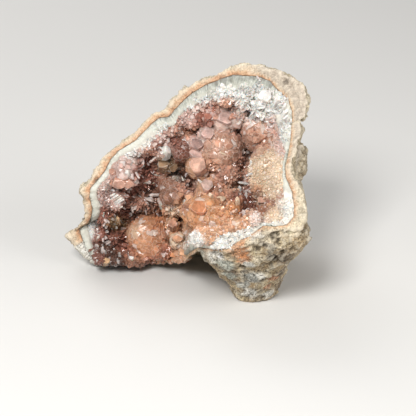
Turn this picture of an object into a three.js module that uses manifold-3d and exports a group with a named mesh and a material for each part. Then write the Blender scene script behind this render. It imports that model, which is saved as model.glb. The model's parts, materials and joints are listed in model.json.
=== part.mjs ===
// A broken piece of a pink amethyst geode, 98 mm wide, in millimetres with +Z up.
// It stands on the flat sole of its rock, and its hollow opens to the front (-Y).
//
// Three things grew one inside the other, and each is one solid:
//   rock_rind        the altered volcanic rock that held the bubble, with its foot
//   chalcedony_band  the white and grey quartz layer that coats the bubble's wall
//   amethyst_crust   the pink crystals, one crust grown together over that layer
//
// All three are lofted from one broken edge: each column starts at a point of the
// edge and runs back along an ellipse to the bottom of the hollow.

import * as THREE from "three";
import { mergeVertices } from "three/addons/utils/BufferGeometryUtils.js";
import Module from "manifold-3d";

const wasm = await Module();
wasm.setup();

// ---- driving dimensions, mm -------------------------------------------------

const HOLLOW_AXIS = new THREE.Vector3(0.1, 0.95, -0.28).normalize(); // from the mouth to the bottom
const ROCK_BOTTOM = new THREE.Vector3(6, 33, 26); // deepest point of the rock's outside
const ROCK_AT_BOTTOM = 10; // thickness of the rock behind the hollow
const BAND_AT_BOTTOM = 2; // thickness of the white layer there
const LINING_AT_BOTTOM = 3; // thickness of the crystals' common root there
const LINING_AT_EDGE = 1.8; // thickness of that root at the broken edge
const FIT = 0.45; // gap between two layers that touch
const ROOT = 0.6; // crystals are rooted no deeper than this above the lining's back
const SOLE = 0.4; // the crystals stay this far above the surface it rests on
const BACK_SLOPE = 0.12; // each layer's edge lies further back by this share of its width

// The broken edge of the rock, clockwise from the left tip as one looks into the
// hollow: x, y, z of the outer edge, then the widths there of rind and white band.
const EDGE = [
  [-51, 2, 14, 6, 3], // left tip
  [-46, 0.5, 18, 5, 3],
  [-43, -1, 22.5, 3, 3],
  [-42, -2, 27.5, 2.4, 3],
  [-43, -2.5, 32.5, 2.4, 2.4],
  [-44.5, -3, 36.5, 4, 2.6], // small knob
  [-41, -1, 38.5, 2.6, 2.6],
  [-38, 1.5, 43, 3.4, 2.2],
  [-35, 2.5, 48, 2.6, 2.4],
  [-31, 3, 52, 2, 3],
  [-24, 5, 56, 1.8, 5],
  [-20.5, 7.5, 59.5, 2, 4.4],
  [-17, 10.5, 62.5, 2.2, 4.6],
  [-14, 11.5, 64.5, 2.2, 4.8],
  [-10, 12, 65, 2.4, 3.6],
  [-8, 13, 69, 3.4, 3.2],
  [-3.5, 13, 73, 3, 3.6],
  [0, 13, 76, 3, 4.8],
  [6, 13, 78.5, 2, 5.8],
  [12, 12.5, 81, 2, 7],
  [17.5, 12, 84, 3, 7.4],
  [23, 11, 85.5, 4.6, 7.6], // top
  [28.5, 9.5, 85.5, 4.4, 7.6],
  [34, 7.5, 84.5, 5, 7.6],
  [40, 4.5, 82.5, 7.4, 7], // thick shoulder
  [44, 1.5, 80.5, 7.8, 7],
  [45.5, -2.5, 75.5, 7, 7],
  [44.5, -6.5, 71, 5.6, 5.6],
  [42, -9, 69.5, 3, 4.6], // notch
  [43, -12, 66, 4.2, 3.4],
  [40.6, -17.5, 61.5, 2.4, 1],
  [38.6, -24, 57.5, 1.8, 0.7],
  [39.4, -28.5, 54.5, 2.4, 1],
  [43.5, -34.5, 50.5, 4.2, 3],
  [44.5, -39.5, 46.5, 4.6, 3.4],
  [44.5, -42.5, 42.5, 5, 3],
  [42, -43.5, 39.5, 5, 2.4], // lip
  [37, -44, 38.8, 4.6, 2.2],
  [31.5, -45.3, 39.8, 3.8, 2.2],
  [26.5, -46, 36.5, 3, 3],
  [21, -46, 33.5, 2.6, 4],
  [15, -45.5, 30.5, 1.2, 5.4],
  [9, -42, 29, 1, 3],
  [3.5, -36, 26.5, 1, 3], // left corner of the lip
  [0, -28, 20, 1.2, 3.4],
  [-1, -19, 14, 1.4, 2.6],
  [-3.5, -11, 9.5, 1.6, 1.6],
  [-8, -5, 6, 1.6, 1.2],
  [-14, -1, 3.4, 1.4, 1],
  [-22, 1, 1.6, 1.2, 1],
  [-30, 1.5, 1, 1.2, 1],
  [-37, 0.5, 1.4, 1.2, 1],
  [-41, -0.5, 3, 1.6, 1.4],
  [-45, 0.5, 7.5, 2.4, 2.4],
];

// The rock below the lip: outlines at rising heights, front side first.
const FOOT = [
  {
    z: -3,
    at: [
      [20.5, -27], [25, -27.6], [30, -25], [34, -22.5], [36, -14],
      [33, -4], [24, 0], [18, -8], [18, -20],
    ],
  },
  {
    z: 3,
    at: [
      [19.2, -28], [25, -29.2], [31, -27], [35, -23.5], [37, -12],
      [33, 0], [22, 4], [16, -6], [16.5, -20],
    ],
  },
  {
    z: 8,
    at: [
      [17.6, -31], [24, -32.8], [31, -30], [36, -25.6], [38, -12],
      [34, 4], [20, 6], [13, -4], [13.5, -22],
    ],
  },
  {
    z: 14,
    at: [
      [14.6, -33.4], [23, -35.8], [31, -34], [37, -29.4], [39.5, -14],
      [36, 6], [18, 8], [9, -4], [10, -24],
    ],
  },
  {
    z: 20,
    at: [[8, -35], [20, -39.6], [32, -38.2], [39, -32.6], [41, -16], [38, 8], [14, 8], [5, -6], [4.5, -26]],
  },
  {
    z: 26,
    at: [
      [5.5, -37.5], [19, -43], [34, -42], [43.6, -35.4], [43, -18],
      [39, 8], [12, 8], [4, -10], [3.5, -28],
    ],
  },
  {
    z: 31,
    at: [
      [11, -42], [21, -44.8], [36, -43.4], [45.5, -38.2], [44, -20],
      [40, 6], [14, 2], [8, -14], [6, -32],
    ],
  },
  {
    z: 34,
    at: [
      [17, -44], [24, -45.2], [37, -43.8], [46.5, -39.8], [44.5, -22],
      [40, 2], [18, -4], [12, -18], [11, -34],
    ],
  },
  {
    z: 37.5,
    at: [
      [26, -44.6], [31, -45], [38, -43.6], [45.6, -40.5], [44, -24],
      [38, -6], [26, -10], [22, -20], [22, -34],
    ],
  },
];

// The rock under and behind the hollow: outlines at rising heights, front side first.
const BASE = [
  {
    z: -3,
    at: [[-30, 7], [-12, 8], [1, 13], [14, 6], [30, 2], [37, 12], [30, 27], [12, 34], [-12, 33], [-30, 24]],
  },
  {
    z: 6,
    at: [[-37, 7], [-14, 9], [0, 14], [14, 6], [32, 2], [40, 12], [34, 30], [13, 38], [-15, 36], [-36, 25]],
  },
  {
    z: 18,
    at: [
      [-39, 9], [-16, 12], [0, 16], [16, 8], [34, 0],
      [42, 11], [37, 30], [14, 40], [-17, 37], [-37, 24],
    ],
  },
  {
    z: 32,
    at: [
      [-36, 12], [-16, 16], [0, 20], [18, 12], [36, 0],
      [43, 8], [38, 28], [16, 38], [-12, 36], [-31, 25],
    ],
  },
  {
    z: 44,
    at: [
      [-28, 16], [-14, 18], [0, 22], [18, 14], [36, 2],
      [41.5, 6], [37, 22], [16, 32], [-8, 32], [-22, 25],
    ],
  },
];

// Lumps of rock that stand out from the rind: centre and half sizes.
const KNOBS = [
  { at: [41.4, -6, 51.5], half: [4.4, 9, 8.6] }, // right side
  { at: [35, 13, 66], half: [9, 8, 12] },
  { at: [-9, 22, 50], half: [13, 8, 11] },
  { at: [12, 27, 60], half: [15, 8, 13] },
  { at: [-32, 17, 26], half: [10, 9, 13] },
  { at: [34, 24, 34], half: [10, 9, 12] },
  { at: [2, 34, 20], half: [18, 7, 11] },
];

// Clusters and single large crystals, placed where they show when one looks into
// the hollow: across (x) and up (along the view plane), then radii across, up and
// towards the eye, and how far the centre stands out from the lining. On a fine one
// the crystals are too small to stand out singly.
const CLUSTERS = [
  { name: "left pink ball", across: -27, up: 41, radii: [7, 7.4, 6], out: 1, fine: true },
  { name: "striated crystal", across: -29.5, up: 29.5, radii: [3.6, 3, 3], out: 2.4 },
  { name: "green-brown cluster", across: -31.5, up: 19.5, radii: [3.6, 3.6, 3], out: 1.8 },
  { name: "orange-peach cluster", across: -17.5, up: 13.2, radii: [8, 8.4, 8], out: 7, fine: true },
  { name: "floor cluster", across: -23, up: 4.6, radii: [7, 4, 5], out: 4 },
  { name: "floor cluster right", across: -13, up: 4.8, radii: [5, 3.4, 4], out: 4 },
  { name: "dark corner cluster", across: -34, up: 4.8, radii: [6.4, 4, 4.6], out: 3 },
  { name: "peach dome", across: -4.6, up: 6, radii: [4.4, 3.6, 4], out: 6 },
  { name: "round crystal low", across: -5.2, up: 12.2, radii: [2.8, 2.8, 3], out: 9 },
  { name: "round crystal high", across: -7.4, up: 18.4, radii: [2.6, 2.6, 3], out: 8 },
  { name: "red-brown mass", across: -7.2, up: 30, radii: [6.4, 8.4, 7], out: 5 },
  { name: "finger crystals", across: -4.6, up: 25.5, radii: [4.6, 3.6, 5], out: 9 },
  { name: "round end", across: -0.8, up: 29.2, radii: [2.6, 2.6, 3], out: 10 },
  { name: "yellow-brown crystal", across: -10.2, up: 43.6, radii: [4.4, 3.8, 4], out: 3 },
  { name: "bright crystal", across: -10.2, up: 49.6, radii: [3.4, 3, 3.4], out: 2 },
  { name: "brown ball", across: -4, up: 48.8, radii: [4.8, 5, 4.4], out: 3 },
  { name: "salmon ball", across: 13, up: 49, radii: [9.2, 9.4, 8.5], out: 6, fine: true },
  { name: "pale hexagonal crystal", across: 6.8, up: 55, radii: [3.2, 3.4, 4], out: 7 },
  { name: "small lilac ball", across: 2.8, up: 50.8, radii: [3.4, 3.4, 3.6], out: 6 },
  { name: "faceted salmon ball", across: 3.4, up: 42.6, radii: [5.2, 5.4, 5], out: 8 },
  { name: "blocky pink cluster", across: 14.2, up: 61.2, radii: [5.4, 5.4, 5], out: 4 },
  { name: "orange-red cluster", across: 7, up: 62.6, radii: [5, 4.4, 4], out: 2.4 },
  { name: "brownish pink cluster", across: 0.4, up: 61, radii: [4.6, 4, 4], out: 2 },
  { name: "pale upper ball", across: 29, up: 69.5, radii: [4.6, 4.6, 4], out: 0 },
  { name: "right pink druse", across: 28, up: 55.6, radii: [7.6, 8, 6.5], out: 0.5 },
  { name: "tan druse", across: 29.6, up: 39.6, radii: [6.6, 11.4, 6], out: 0, fine: true },
  { name: "orange bead", across: 28, up: 28.2, radii: [2.2, 2.2, 2.4], out: 1.5 },
  { name: "centre rubble", across: 14, up: 37, radii: [7, 6, 6], out: 4 },
  { name: "orange cluster", across: 5.4, up: 23.6, radii: [8.2, 6.6, 7], out: 10, fine: true },
  { name: "orange cluster right", across: 11.6, up: 21, radii: [6, 5, 6], out: 8 },
  { name: "pink crystals above", across: 6.6, up: 33.6, radii: [4.2, 4, 4], out: 8 },
  { name: "orange-pink rubble", across: 18.4, up: 24.4, radii: [5, 4, 4], out: 5 },
  { name: "salmon floor", across: 7, up: 14.6, radii: [7.6, 4, 4.4], out: 0 },
];

const CRYSTAL_SPACING = 8.6; // between the crystals that stand on all the rest
const CRYSTAL_RADIUS = [2.2, 3.8]; // smallest and largest of them
const CRYSTAL_ROOT = 1.6; // depth of a crystal's base under the surface it stands on
const CRYSTAL_LEAN = 0.9; // how far they lean at most, as a share of their height
const HOLLOW_VIEW = { left: -47, right: 45, bottom: 1, top: 85 }; // the hollow as one looks in
const EYE_TILT = THREE.MathUtils.degToRad(25); // how far one looks down into the hollow
const SEED = 11;

const HIDDEN_ROWS = 4; // rows of faces on the surfaces that lie between two layers
const LINING_ROWS = 5; // on the surface that the crystals stand on
const OUTSIDE_ROWS = 7; // on the outside of the rock
const LARGE_CLUSTER = 7.9; // clusters with a radius above this have finer faces

// Roughness of the rock: swell all over, then height and spacing of the lumps.
const OUTSIDE_SWELL = 1.2;
const OUTSIDE_LUMPS = [[1.5, 24], [0.8, 11]];
const LOFT_LUMPS = [0.9, 9]; // on the rock below the lip and behind the hollow
const KNOB_LUMPS = [0.14, 13]; // as a share of the knob's radius
const LINING_LUMPS = [0.8, 17]; // on the lining under the crystals

// ---- small helpers ----------------------------------------------------------

const vec = ([x, y, z]) => new THREE.Vector3(x, y, z);

const meanOf = (points) => points.reduce((sum, p) => sum.add(p), vec([0, 0, 0])).divideScalar(points.length);

// Repeatable random numbers from 0 to 1.
function seeded(seed) {
  let state = seed;
  return () => {
    state = (state * 16807) % 2147483647;
    return state / 2147483647;
  };
}

// Gentle lumps: three crossed waves of about the given spacing, from -1 to 1.
function lumps(p, spacing) {
  const k = (2 * Math.PI) / spacing;
  const a = Math.sin(k * (p.x + 0.6 * p.z) + 1.3);
  const b = Math.sin(k * (p.y - 0.5 * p.x) + 4.1);
  const c = Math.sin(k * (p.z + 0.7 * p.y) + 2.2);
  return (a * b + b * c + c * a) / 1.6;
}

// A closed triangle list as a manifold solid, turned to face outwards.
function solidFrom(points, triangles) {
  const geometry = new THREE.BufferGeometry();
  const xyz = points.flatMap((p) => p.toArray());
  geometry.setAttribute("position", new THREE.Float32BufferAttribute(xyz, 3));
  geometry.setIndex(triangles.flat());
  return solidOf(geometry);
}

function solidOf(geometry) {
  const bare = geometry.clone();
  bare.deleteAttribute("normal");
  bare.deleteAttribute("uv");
  const merged = mergeVertices(bare, 1e-4);
  const vertProperties = new Float32Array(merged.attributes.position.array);
  let triVerts = new Uint32Array(merged.index.array);
  if (signedVolume(vertProperties, triVerts) < 0) {
    triVerts = triVerts.map((v, i) => (i % 3 === 1 ? triVerts[i + 1] : i % 3 === 2 ? triVerts[i - 1] : v));
  }
  return new wasm.Manifold(new wasm.Mesh({ numProp: 3, vertProperties, triVerts }));
}

function signedVolume(xyz, triangles) {
  let sum = 0;
  const corner = (i) => new THREE.Vector3(xyz[3 * i], xyz[3 * i + 1], xyz[3 * i + 2]);
  for (let t = 0; t < triangles.length; t += 3) {
    sum += corner(triangles[t]).dot(corner(triangles[t + 1]).cross(corner(triangles[t + 2])));
  }
  return sum;
}

// Joins rings of points into a closed skin, with a fan over each end.
function skin(rings, firstPole, lastPole) {
  const n = rings[0].length;
  const points = [...rings.flat(), firstPole, lastPole];
  const first = rings.length * n;
  const triangles = [];
  for (let j = 0; j < n; j++) {
    const k = (j + 1) % n;
    triangles.push([first, k, j]);
    for (let i = 0; i + 1 < rings.length; i++) {
      const a = i * n + j;
      const b = i * n + k;
      triangles.push([a, b, b + n], [a, b + n, a + n]);
    }
    const last = (rings.length - 1) * n;
    triangles.push([first + 1, last + j, last + k]);
  }
  return solidFrom(points, triangles);
}

// ---- the nested bowls -------------------------------------------------------

// The edge's mean point gives each column its inward direction, square to the axis.
const edgePoints = EDGE.map(vec);
const middle = meanOf(edgePoints);

function inward(p) {
  const way = middle.clone().sub(p);
  return way.addScaledVector(HOLLOW_AXIS, -way.dot(HOLLOW_AXIS)).normalize();
}

// The edge moved inwards by so many mm in each column, and a little into the hollow.
function inset(widthOf) {
  return EDGE.map((row, j) => {
    const width = widthOf(row);
    const moved = edgePoints[j].clone().addScaledVector(inward(edgePoints[j]), width);
    return moved.addScaledVector(HOLLOW_AXIS, BACK_SLOPE * width);
  });
}

// Rings from an edge to a pole: each column is a quarter of an ellipse.
function bowl(edge, pole, rows, lump = () => 0) {
  const rings = [];
  for (let i = 0; i < rows; i++) {
    const angle = (i / rows) * (Math.PI / 2);
    rings.push(edge.map((p) => {
      const way = p.clone().sub(pole);
      const along = way.dot(HOLLOW_AXIS);
      const across = way.clone().addScaledVector(HOLLOW_AXIS, -along);
      const point = pole.clone()
        .addScaledVector(across, Math.cos(angle))
        .addScaledVector(HOLLOW_AXIS, along * (1 - Math.sin(angle)));
      const out = across.normalize().multiplyScalar(Math.cos(angle));
      out.addScaledVector(HOLLOW_AXIS, Math.sin(angle));
      return point.addScaledVector(out, lump(point, i / rows));
    }));
  }
  return rings;
}

// A layer between an outer and an inner bowl, closed by a strip along the edge.
function layer(outer, outerPole, inner, innerPole) {
  return skin([...outer.slice().reverse(), ...inner], outerPole, innerPole);
}

const poleAt = (depth) => ROCK_BOTTOM.clone().addScaledVector(HOLLOW_AXIS, -depth);

const bandDepth = ROCK_AT_BOTTOM + FIT;
const crustDepth = bandDepth + BAND_AT_BOTTOM + FIT;
const wallEdge = inset((row) => row[3]);
const bandEdge = inset((row) => row[3] + FIT);
const bandInnerEdge = inset((row) => row[3] + FIT + row[4]);
const crustEdge = inset((row) => row[3] + 2 * FIT + row[4]);
const crustInnerEdge = inset((row) => row[3] + 2 * FIT + row[4] + LINING_AT_EDGE);

const wall = bowl(wallEdge, poleAt(ROCK_AT_BOTTOM), HIDDEN_ROWS);

// Everything below a level: cutting it away leaves the flat sole, or lifts the crystals.
function below(level) {
  const size = 400;
  const slab = new THREE.BoxGeometry(size, size, size);
  slab.translate(0, 0, level - size / 2);
  return solidOf(slab);
}

// ---- rock -------------------------------------------------------------------

// Pushes a ball's points in and out so that it looks like broken rock.
function knob({ at, half }) {
  const [height, spacing] = KNOB_LUMPS;
  const ball = new THREE.IcosahedronGeometry(1, 1);
  const place = ball.attributes.position;
  for (let i = 0; i < place.count; i++) {
    const p = new THREE.Vector3().fromBufferAttribute(place, i).multiply(vec(half));
    const world = p.clone().add(vec(at));
    p.multiplyScalar(1 + height * lumps(world, spacing)).add(vec(at));
    place.setXYZ(i, p.x, p.y, p.z);
  }
  return solidOf(ball);
}

// A loft through level outlines, each drawn as a smooth closed curve and roughened.
function loft(outlines, around) {
  const [height, spacing] = LOFT_LUMPS;
  const rings = outlines.map(({ z, at }) => {
    const corners = at.map(([x, y]) => new THREE.Vector3(x, y, z));
    const curve = new THREE.CatmullRomCurve3(corners, true, "catmullrom", 0.4);
    const core = meanOf(corners);
    return Array.from({ length: around }, (_, i) => {
      const p = curve.getPoint(i / around);
      const out = p.clone().sub(core).normalize();
      return p.addScaledVector(out, height * (lumps(p, spacing) - 1 / 3));
    });
  });
  return skin(rings, meanOf(rings[0]), meanOf(rings[rings.length - 1]));
}

// Everything the hollow must keep free: the wall's bowl, drawn out well past the mouth.
function hollow() {
  const reach = 80;
  const far = wallEdge.map((p) => p.clone().addScaledVector(HOLLOW_AXIS, -reach));
  return skin([far, ...wall], middle.clone().addScaledVector(HOLLOW_AXIS, -reach), poleAt(ROCK_AT_BOTTOM));
}

function rockRind() {
  // The broken edge itself stays as drawn, and the lumps grow behind it.
  const lumpsAt = (p) => OUTSIDE_LUMPS.reduce((sum, [h, spacing]) => sum + h * lumps(p, spacing), 0);
  const rough = (p, back) => Math.min(1, back * 4) * (OUTSIDE_SWELL + lumpsAt(p));
  const outside = bowl(edgePoints, ROCK_BOTTOM, OUTSIDE_ROWS, rough);
  let rock = layer(outside, ROCK_BOTTOM, wall, poleAt(ROCK_AT_BOTTOM));
  const free = hollow();
  for (const lump of [loft(FOOT, 18), loft(BASE, 14), ...KNOBS.map(knob)]) {
    rock = rock.add(lump.subtract(free));
  }
  return rock.subtract(below(0));
}

// ---- white band -------------------------------------------------------------

function chalcedonyBand() {
  const outer = bowl(bandEdge, poleAt(bandDepth), HIDDEN_ROWS);
  const inner = bowl(bandInnerEdge, poleAt(bandDepth + BAND_AT_BOTTOM), HIDDEN_ROWS);
  return layer(outer, poleAt(bandDepth), inner, poleAt(bandDepth + BAND_AT_BOTTOM));
}

// ---- crystals ---------------------------------------------------------------

// A quartz crystal along +Z from its root at z = 0: six flat sides under a six-sided point.
function crystal(radius, length, random) {
  const corners = Array.from({ length: 6 }, (_, i) => {
    const turn = ((i + 0.3 * (random() - 0.5)) * Math.PI) / 3;
    const reach = radius * (0.85 + 0.3 * random());
    return new THREE.Vector3(reach * Math.cos(turn), reach * Math.sin(turn), 0);
  });
  const shoulder = new THREE.Vector3(0, 0, length - radius * (0.7 + 0.3 * random()));
  const rings = [corners, corners.map((p) => p.clone().add(shoulder))];
  return { rings, root: new THREE.Vector3(0, 0, 0), point: new THREE.Vector3(0, 0, length) };
}

function placed({ rings, root, point }, at, way, roll) {
  const turn = new THREE.Quaternion().setFromUnitVectors(new THREE.Vector3(0, 0, 1), way);
  turn.multiply(new THREE.Quaternion().setFromAxisAngle(new THREE.Vector3(0, 0, 1), roll));
  const move = (p) => p.clone().applyQuaternion(turn).add(at);
  return skin(rings.map((ring) => ring.map(move)), move(root), move(point));
}

// One cluster's body: a faceted ball, drawn out backwards to the lining that it grew from.
function clusterBody({ radii, out }, centre, frame) {
  const ball = new THREE.IcosahedronGeometry(1, Math.max(...radii) > LARGE_CLUSTER ? 1 : 0);
  const place = ball.attributes.position;
  for (let i = 0; i < place.count; i++) {
    const p = new THREE.Vector3().fromBufferAttribute(place, i).multiply(vec(radii));
    if (p.z > 0) p.z += out;
    p.applyMatrix4(frame).add(centre);
    place.setXYZ(i, p.x, p.y, p.z);
  }
  return solidOf(ball);
}

function onFineCluster(across, up) {
  return CLUSTERS.some(({ fine, across: x, up: y, radii }) => {
    return fine && Math.hypot((across - x) / radii[0], (up - y) / radii[1]) < 0.95;
  });
}

function amethystCrust() {
  const random = seeded(SEED);
  const depth = crustDepth + LINING_AT_BOTTOM;
  const [height, spacing] = LINING_LUMPS;
  const waves = (p, back) => -height * Math.min(1, back * 5) * (1 + lumps(p, spacing));
  const back = bowl(crustEdge, poleAt(crustDepth), HIDDEN_ROWS);
  const front = bowl(crustInnerEdge, poleAt(depth), LINING_ROWS, waves);
  const lining = layer(back, poleAt(crustDepth), front, poleAt(depth));

  // The eye's own axes, and what it meets first at (across, up) on a given solid.
  const sight = new THREE.Vector3(0, Math.cos(EYE_TILT), -Math.sin(EYE_TILT));
  const rise = new THREE.Vector3(0, Math.sin(EYE_TILT), Math.cos(EYE_TILT));
  const frame = new THREE.Matrix4().makeBasis(new THREE.Vector3(1, 0, 0), rise, sight);
  const lookAt = (surface, across, up) => {
    const start = new THREE.Vector3(across, 0, 0).addScaledVector(rise, up).addScaledVector(sight, -200);
    return new THREE.Raycaster(start, sight).intersectObject(surface)[0];
  };
  const nearestEdge = (across, up) => {
    const line = new THREE.Ray(new THREE.Vector3(across, 0, 0).addScaledVector(rise, up), sight);
    return front[0].reduce((a, b) => (line.distanceSqToPoint(b) < line.distanceSqToPoint(a) ? b : a));
  };

  const bare = new THREE.Mesh(geometryOf(lining));
  const bodies = CLUSTERS.map((cluster) => {
    const hit = lookAt(bare, cluster.across, cluster.up);
    const seat = hit ? hit.point : nearestEdge(cluster.across, cluster.up);
    return clusterBody(cluster, seat.clone().addScaledVector(sight, -cluster.out), frame);
  });

  // Crystals on the lining and the coarse clusters, in staggered rows as the eye meets them.
  const grown = new THREE.Mesh(geometryOf(wasm.Manifold.union([lining, ...bodies])));
  const crystals = [];
  for (let row = 0; row * CRYSTAL_SPACING < HOLLOW_VIEW.top - HOLLOW_VIEW.bottom; row++) {
    for (let column = 0; column * CRYSTAL_SPACING < HOLLOW_VIEW.right - HOLLOW_VIEW.left; column++) {
      const across = HOLLOW_VIEW.left + (column + (row % 2) / 2 + 0.7 * random()) * CRYSTAL_SPACING;
      const up = HOLLOW_VIEW.bottom + (row + 0.7 * random()) * CRYSTAL_SPACING;
      const size = THREE.MathUtils.lerp(...CRYSTAL_RADIUS, random() ** 1.5);
      const lean = new THREE.Vector3(random() - 0.5, random() - 0.5, random() - 0.5);
      const roll = random();
      const hit = lookAt(grown, across, up);
      if (!hit || onFineCluster(across, up)) continue;
      const way = hit.face.normal.clone().addScaledVector(lean, CRYSTAL_LEAN).normalize();
      const root = hit.point.clone().addScaledVector(way, -CRYSTAL_ROOT);
      crystals.push(placed(crystal(size, CRYSTAL_ROOT + 1.6 * size, random), root, way, roll));
    }
  }

  const clear = wasm.Manifold.union([...bodies, ...crystals]).subtract(keepOut()).subtract(below(SOLE));
  return lining.add(clear).decompose().sort((a, b) => b.volume() - a.volume())[0];
}

// The rock and the band, a little too large, so that crystals keep clear of both.
function keepOut() {
  const wide = 9;
  const before = (p) => p.clone().addScaledVector(HOLLOW_AXIS, -FIT);
  const outsideEdge = edgePoints.map((p) => p.clone().addScaledVector(inward(p), -wide));
  const outside = bowl(outsideEdge.map(before), poleAt(-wide), OUTSIDE_ROWS);
  const rootEdge = inset((row) => row[3] + 2 * FIT + row[4] + ROOT);
  const inner = bowl(rootEdge, poleAt(crustDepth + ROOT), HIDDEN_ROWS);
  const strip = [edgePoints.map(before), wallEdge.map(before), rootEdge.map(before)];
  return skin([...outside.reverse(), ...strip, ...inner], poleAt(-wide), poleAt(crustDepth + ROOT));
}

function geometryOf(solid) {
  const mesh = solid.getMesh();
  const geometry = new THREE.BufferGeometry();
  const xyz = [];
  for (let i = 0; i < mesh.numVert; i++) {
    xyz.push(...mesh.vertProperties.subarray(i * mesh.numProp, i * mesh.numProp + 3));
  }
  geometry.setAttribute("position", new THREE.Float32BufferAttribute(xyz, 3));
  geometry.setIndex([...mesh.triVerts]);
  geometry.computeVertexNormals();
  return geometry;
}

// ---- the specimen -----------------------------------------------------------

function piece(name, solid, color, roughness) {
  const material = new THREE.MeshStandardMaterial({ color, roughness, metalness: 0, flatShading: true });
  const mesh = new THREE.Mesh(geometryOf(solid), material);
  mesh.name = name;
  return mesh;
}

const specimen = new THREE.Group();
specimen.add(piece("rock_rind", rockRind(), 0xd9b183, 0.9));
specimen.add(piece("chalcedony_band", chalcedonyBand(), 0xdcdcd2, 0.45));
specimen.add(piece("amethyst_crust", amethystCrust(), 0xb9745c, 0.2));

// The origin is under the middle of the whole piece, on the surface it stands on.
const box = new THREE.Box3().setFromObject(specimen);
const centre = box.getCenter(new THREE.Vector3());
specimen.position.set(-centre.x, -centre.y, -box.min.z);

export default specimen;
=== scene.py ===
import json
import math
from functools import partial
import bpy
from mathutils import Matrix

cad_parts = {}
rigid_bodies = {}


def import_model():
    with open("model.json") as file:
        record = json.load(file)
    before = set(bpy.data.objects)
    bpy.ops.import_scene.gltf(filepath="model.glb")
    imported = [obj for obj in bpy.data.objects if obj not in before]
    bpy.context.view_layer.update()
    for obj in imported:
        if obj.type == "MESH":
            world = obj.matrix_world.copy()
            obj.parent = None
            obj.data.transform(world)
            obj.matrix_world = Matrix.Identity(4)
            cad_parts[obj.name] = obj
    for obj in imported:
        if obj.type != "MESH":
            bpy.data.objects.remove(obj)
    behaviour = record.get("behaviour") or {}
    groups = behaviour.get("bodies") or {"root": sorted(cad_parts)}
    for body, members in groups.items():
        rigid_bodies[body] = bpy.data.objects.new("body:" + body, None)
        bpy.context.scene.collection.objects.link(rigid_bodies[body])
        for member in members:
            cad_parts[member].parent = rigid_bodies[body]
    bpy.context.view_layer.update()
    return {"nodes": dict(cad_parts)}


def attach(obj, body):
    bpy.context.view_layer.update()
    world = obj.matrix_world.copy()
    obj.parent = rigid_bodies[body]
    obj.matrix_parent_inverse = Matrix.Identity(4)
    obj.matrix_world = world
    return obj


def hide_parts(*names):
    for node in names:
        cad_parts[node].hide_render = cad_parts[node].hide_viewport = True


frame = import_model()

from types import SimpleNamespace

import bmesh
import bpy
import numpy as np
from mathutils import Matrix, Vector, noise
from mathutils.bvhtree import BVHTree

# ---- The eye, the table and the lamps ---------------------------------------------
# A long lens looks 25 degrees down into the hollow. The specimen stands on a pale matt
# table, lit by a large soft lamp above its front and two weaker ones at its sides.

MM = 0.001
LOOK_DOWN = math.radians(25)
HEAD_TILT = math.radians(0.6)
LENS_MM = 165.5
NEAREST_SEEN = 10 * MM
EYE = Vector((9.3, -693.5, 352.7)) * MM
SIGHT = Vector((0, math.cos(LOOK_DOWN), -math.sin(LOOK_DOWN)))
LEVEL_RISE = Vector((0, math.sin(LOOK_DOWN), math.cos(LOOK_DOWN)))
RIGHT = math.cos(HEAD_TILT) * Vector((1, 0, 0)) + math.sin(HEAD_TILT) * LEVEL_RISE
RISE = math.cos(HEAD_TILT) * LEVEL_RISE - math.sin(HEAD_TILT) * Vector((1, 0, 0))
LAMP_AIM = Vector((0, 0, 0.04))
LAMPS = {  # square and soft: place and width in metres, power in watts
    "front lamp": ((-0.18, -0.52, 0.56), 0.24, 6.0),
    "right lamp": ((0.60, -0.30, 0.35), 0.45, 2.6),
    "back lamp": ((-0.30, 0.55, 0.55), 0.50, 2.2),
}
ROOM_LIGHT = 0.3
TABLE_CORNERS = [(-2, -2, 0), (2, -2, 0), (2, 3, 0), (-2, 3, 0)]


def put_camera():
    """Sets the camera at the eye, with its own right and rise."""
    camera = bpy.data.objects.new("camera", bpy.data.cameras.new("camera"))
    camera.data.lens = LENS_MM
    camera.data.clip_start = NEAREST_SEEN
    turn = Matrix((RIGHT, RISE, -SIGHT)).transposed()
    camera.matrix_world = Matrix.Translation(EYE) @ turn.to_4x4()
    bpy.context.collection.objects.link(camera)
    bpy.context.scene.camera = camera


def linear(hex_colour):
    """An sRGB hex colour such as 'C8A27A' as the linear red, green, blue, alpha that nodes take."""
    parts = [int(hex_colour[i:i + 2], 16) / 255 for i in (0, 2, 4)]
    return tuple(c / 12.92 if c <= 0.04045 else ((c + 0.055) / 1.055) ** 2.4 for c in parts) + (1.0,)


def fill(node, values):
    """Sets a node's inputs: a socket is linked, and anything else is the input's own value."""
    for key, value in values.items():
        if isinstance(value, bpy.types.NodeSocket):
            node.id_data.links.new(value, node.inputs[key])
        else:
            node.inputs[key].default_value = value


def add_node(tree, kind, inputs=None, stops=(), out=0, **settings):
    """Adds a node with its inputs, settings and a colour ramp's stops, and gives one output."""
    made = tree.nodes.new(kind)
    for key, value in settings.items():
        setattr(made, key, value)
    fill(made, inputs or {})
    for at, _ in stops[2:]:
        made.color_ramp.elements.new(at)
    for i, (at, colour) in enumerate(stops):
        made.color_ramp.elements[i].position = at
        made.color_ramp.elements[i].color = linear(colour)
    return made.outputs[out] if made.outputs else None


def new_material(name):
    """A material, its surface shader, and the function that adds nodes to it."""
    material = bpy.data.materials.new(name)
    material.use_nodes = True
    tree = material.node_tree
    return material, tree.nodes["Principled BSDF"], partial(add_node, tree)


put_camera()
for name, (place, width, watts) in LAMPS.items():
    lamp = bpy.data.objects.new(name, bpy.data.lights.new(name, "AREA"))
    lamp.data.size = width
    lamp.data.energy = watts
    lamp.location = place
    lamp.rotation_euler = (LAMP_AIM - Vector(place)).to_track_quat("-Z", "Y").to_euler()
    bpy.context.collection.objects.link(lamp)

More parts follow.
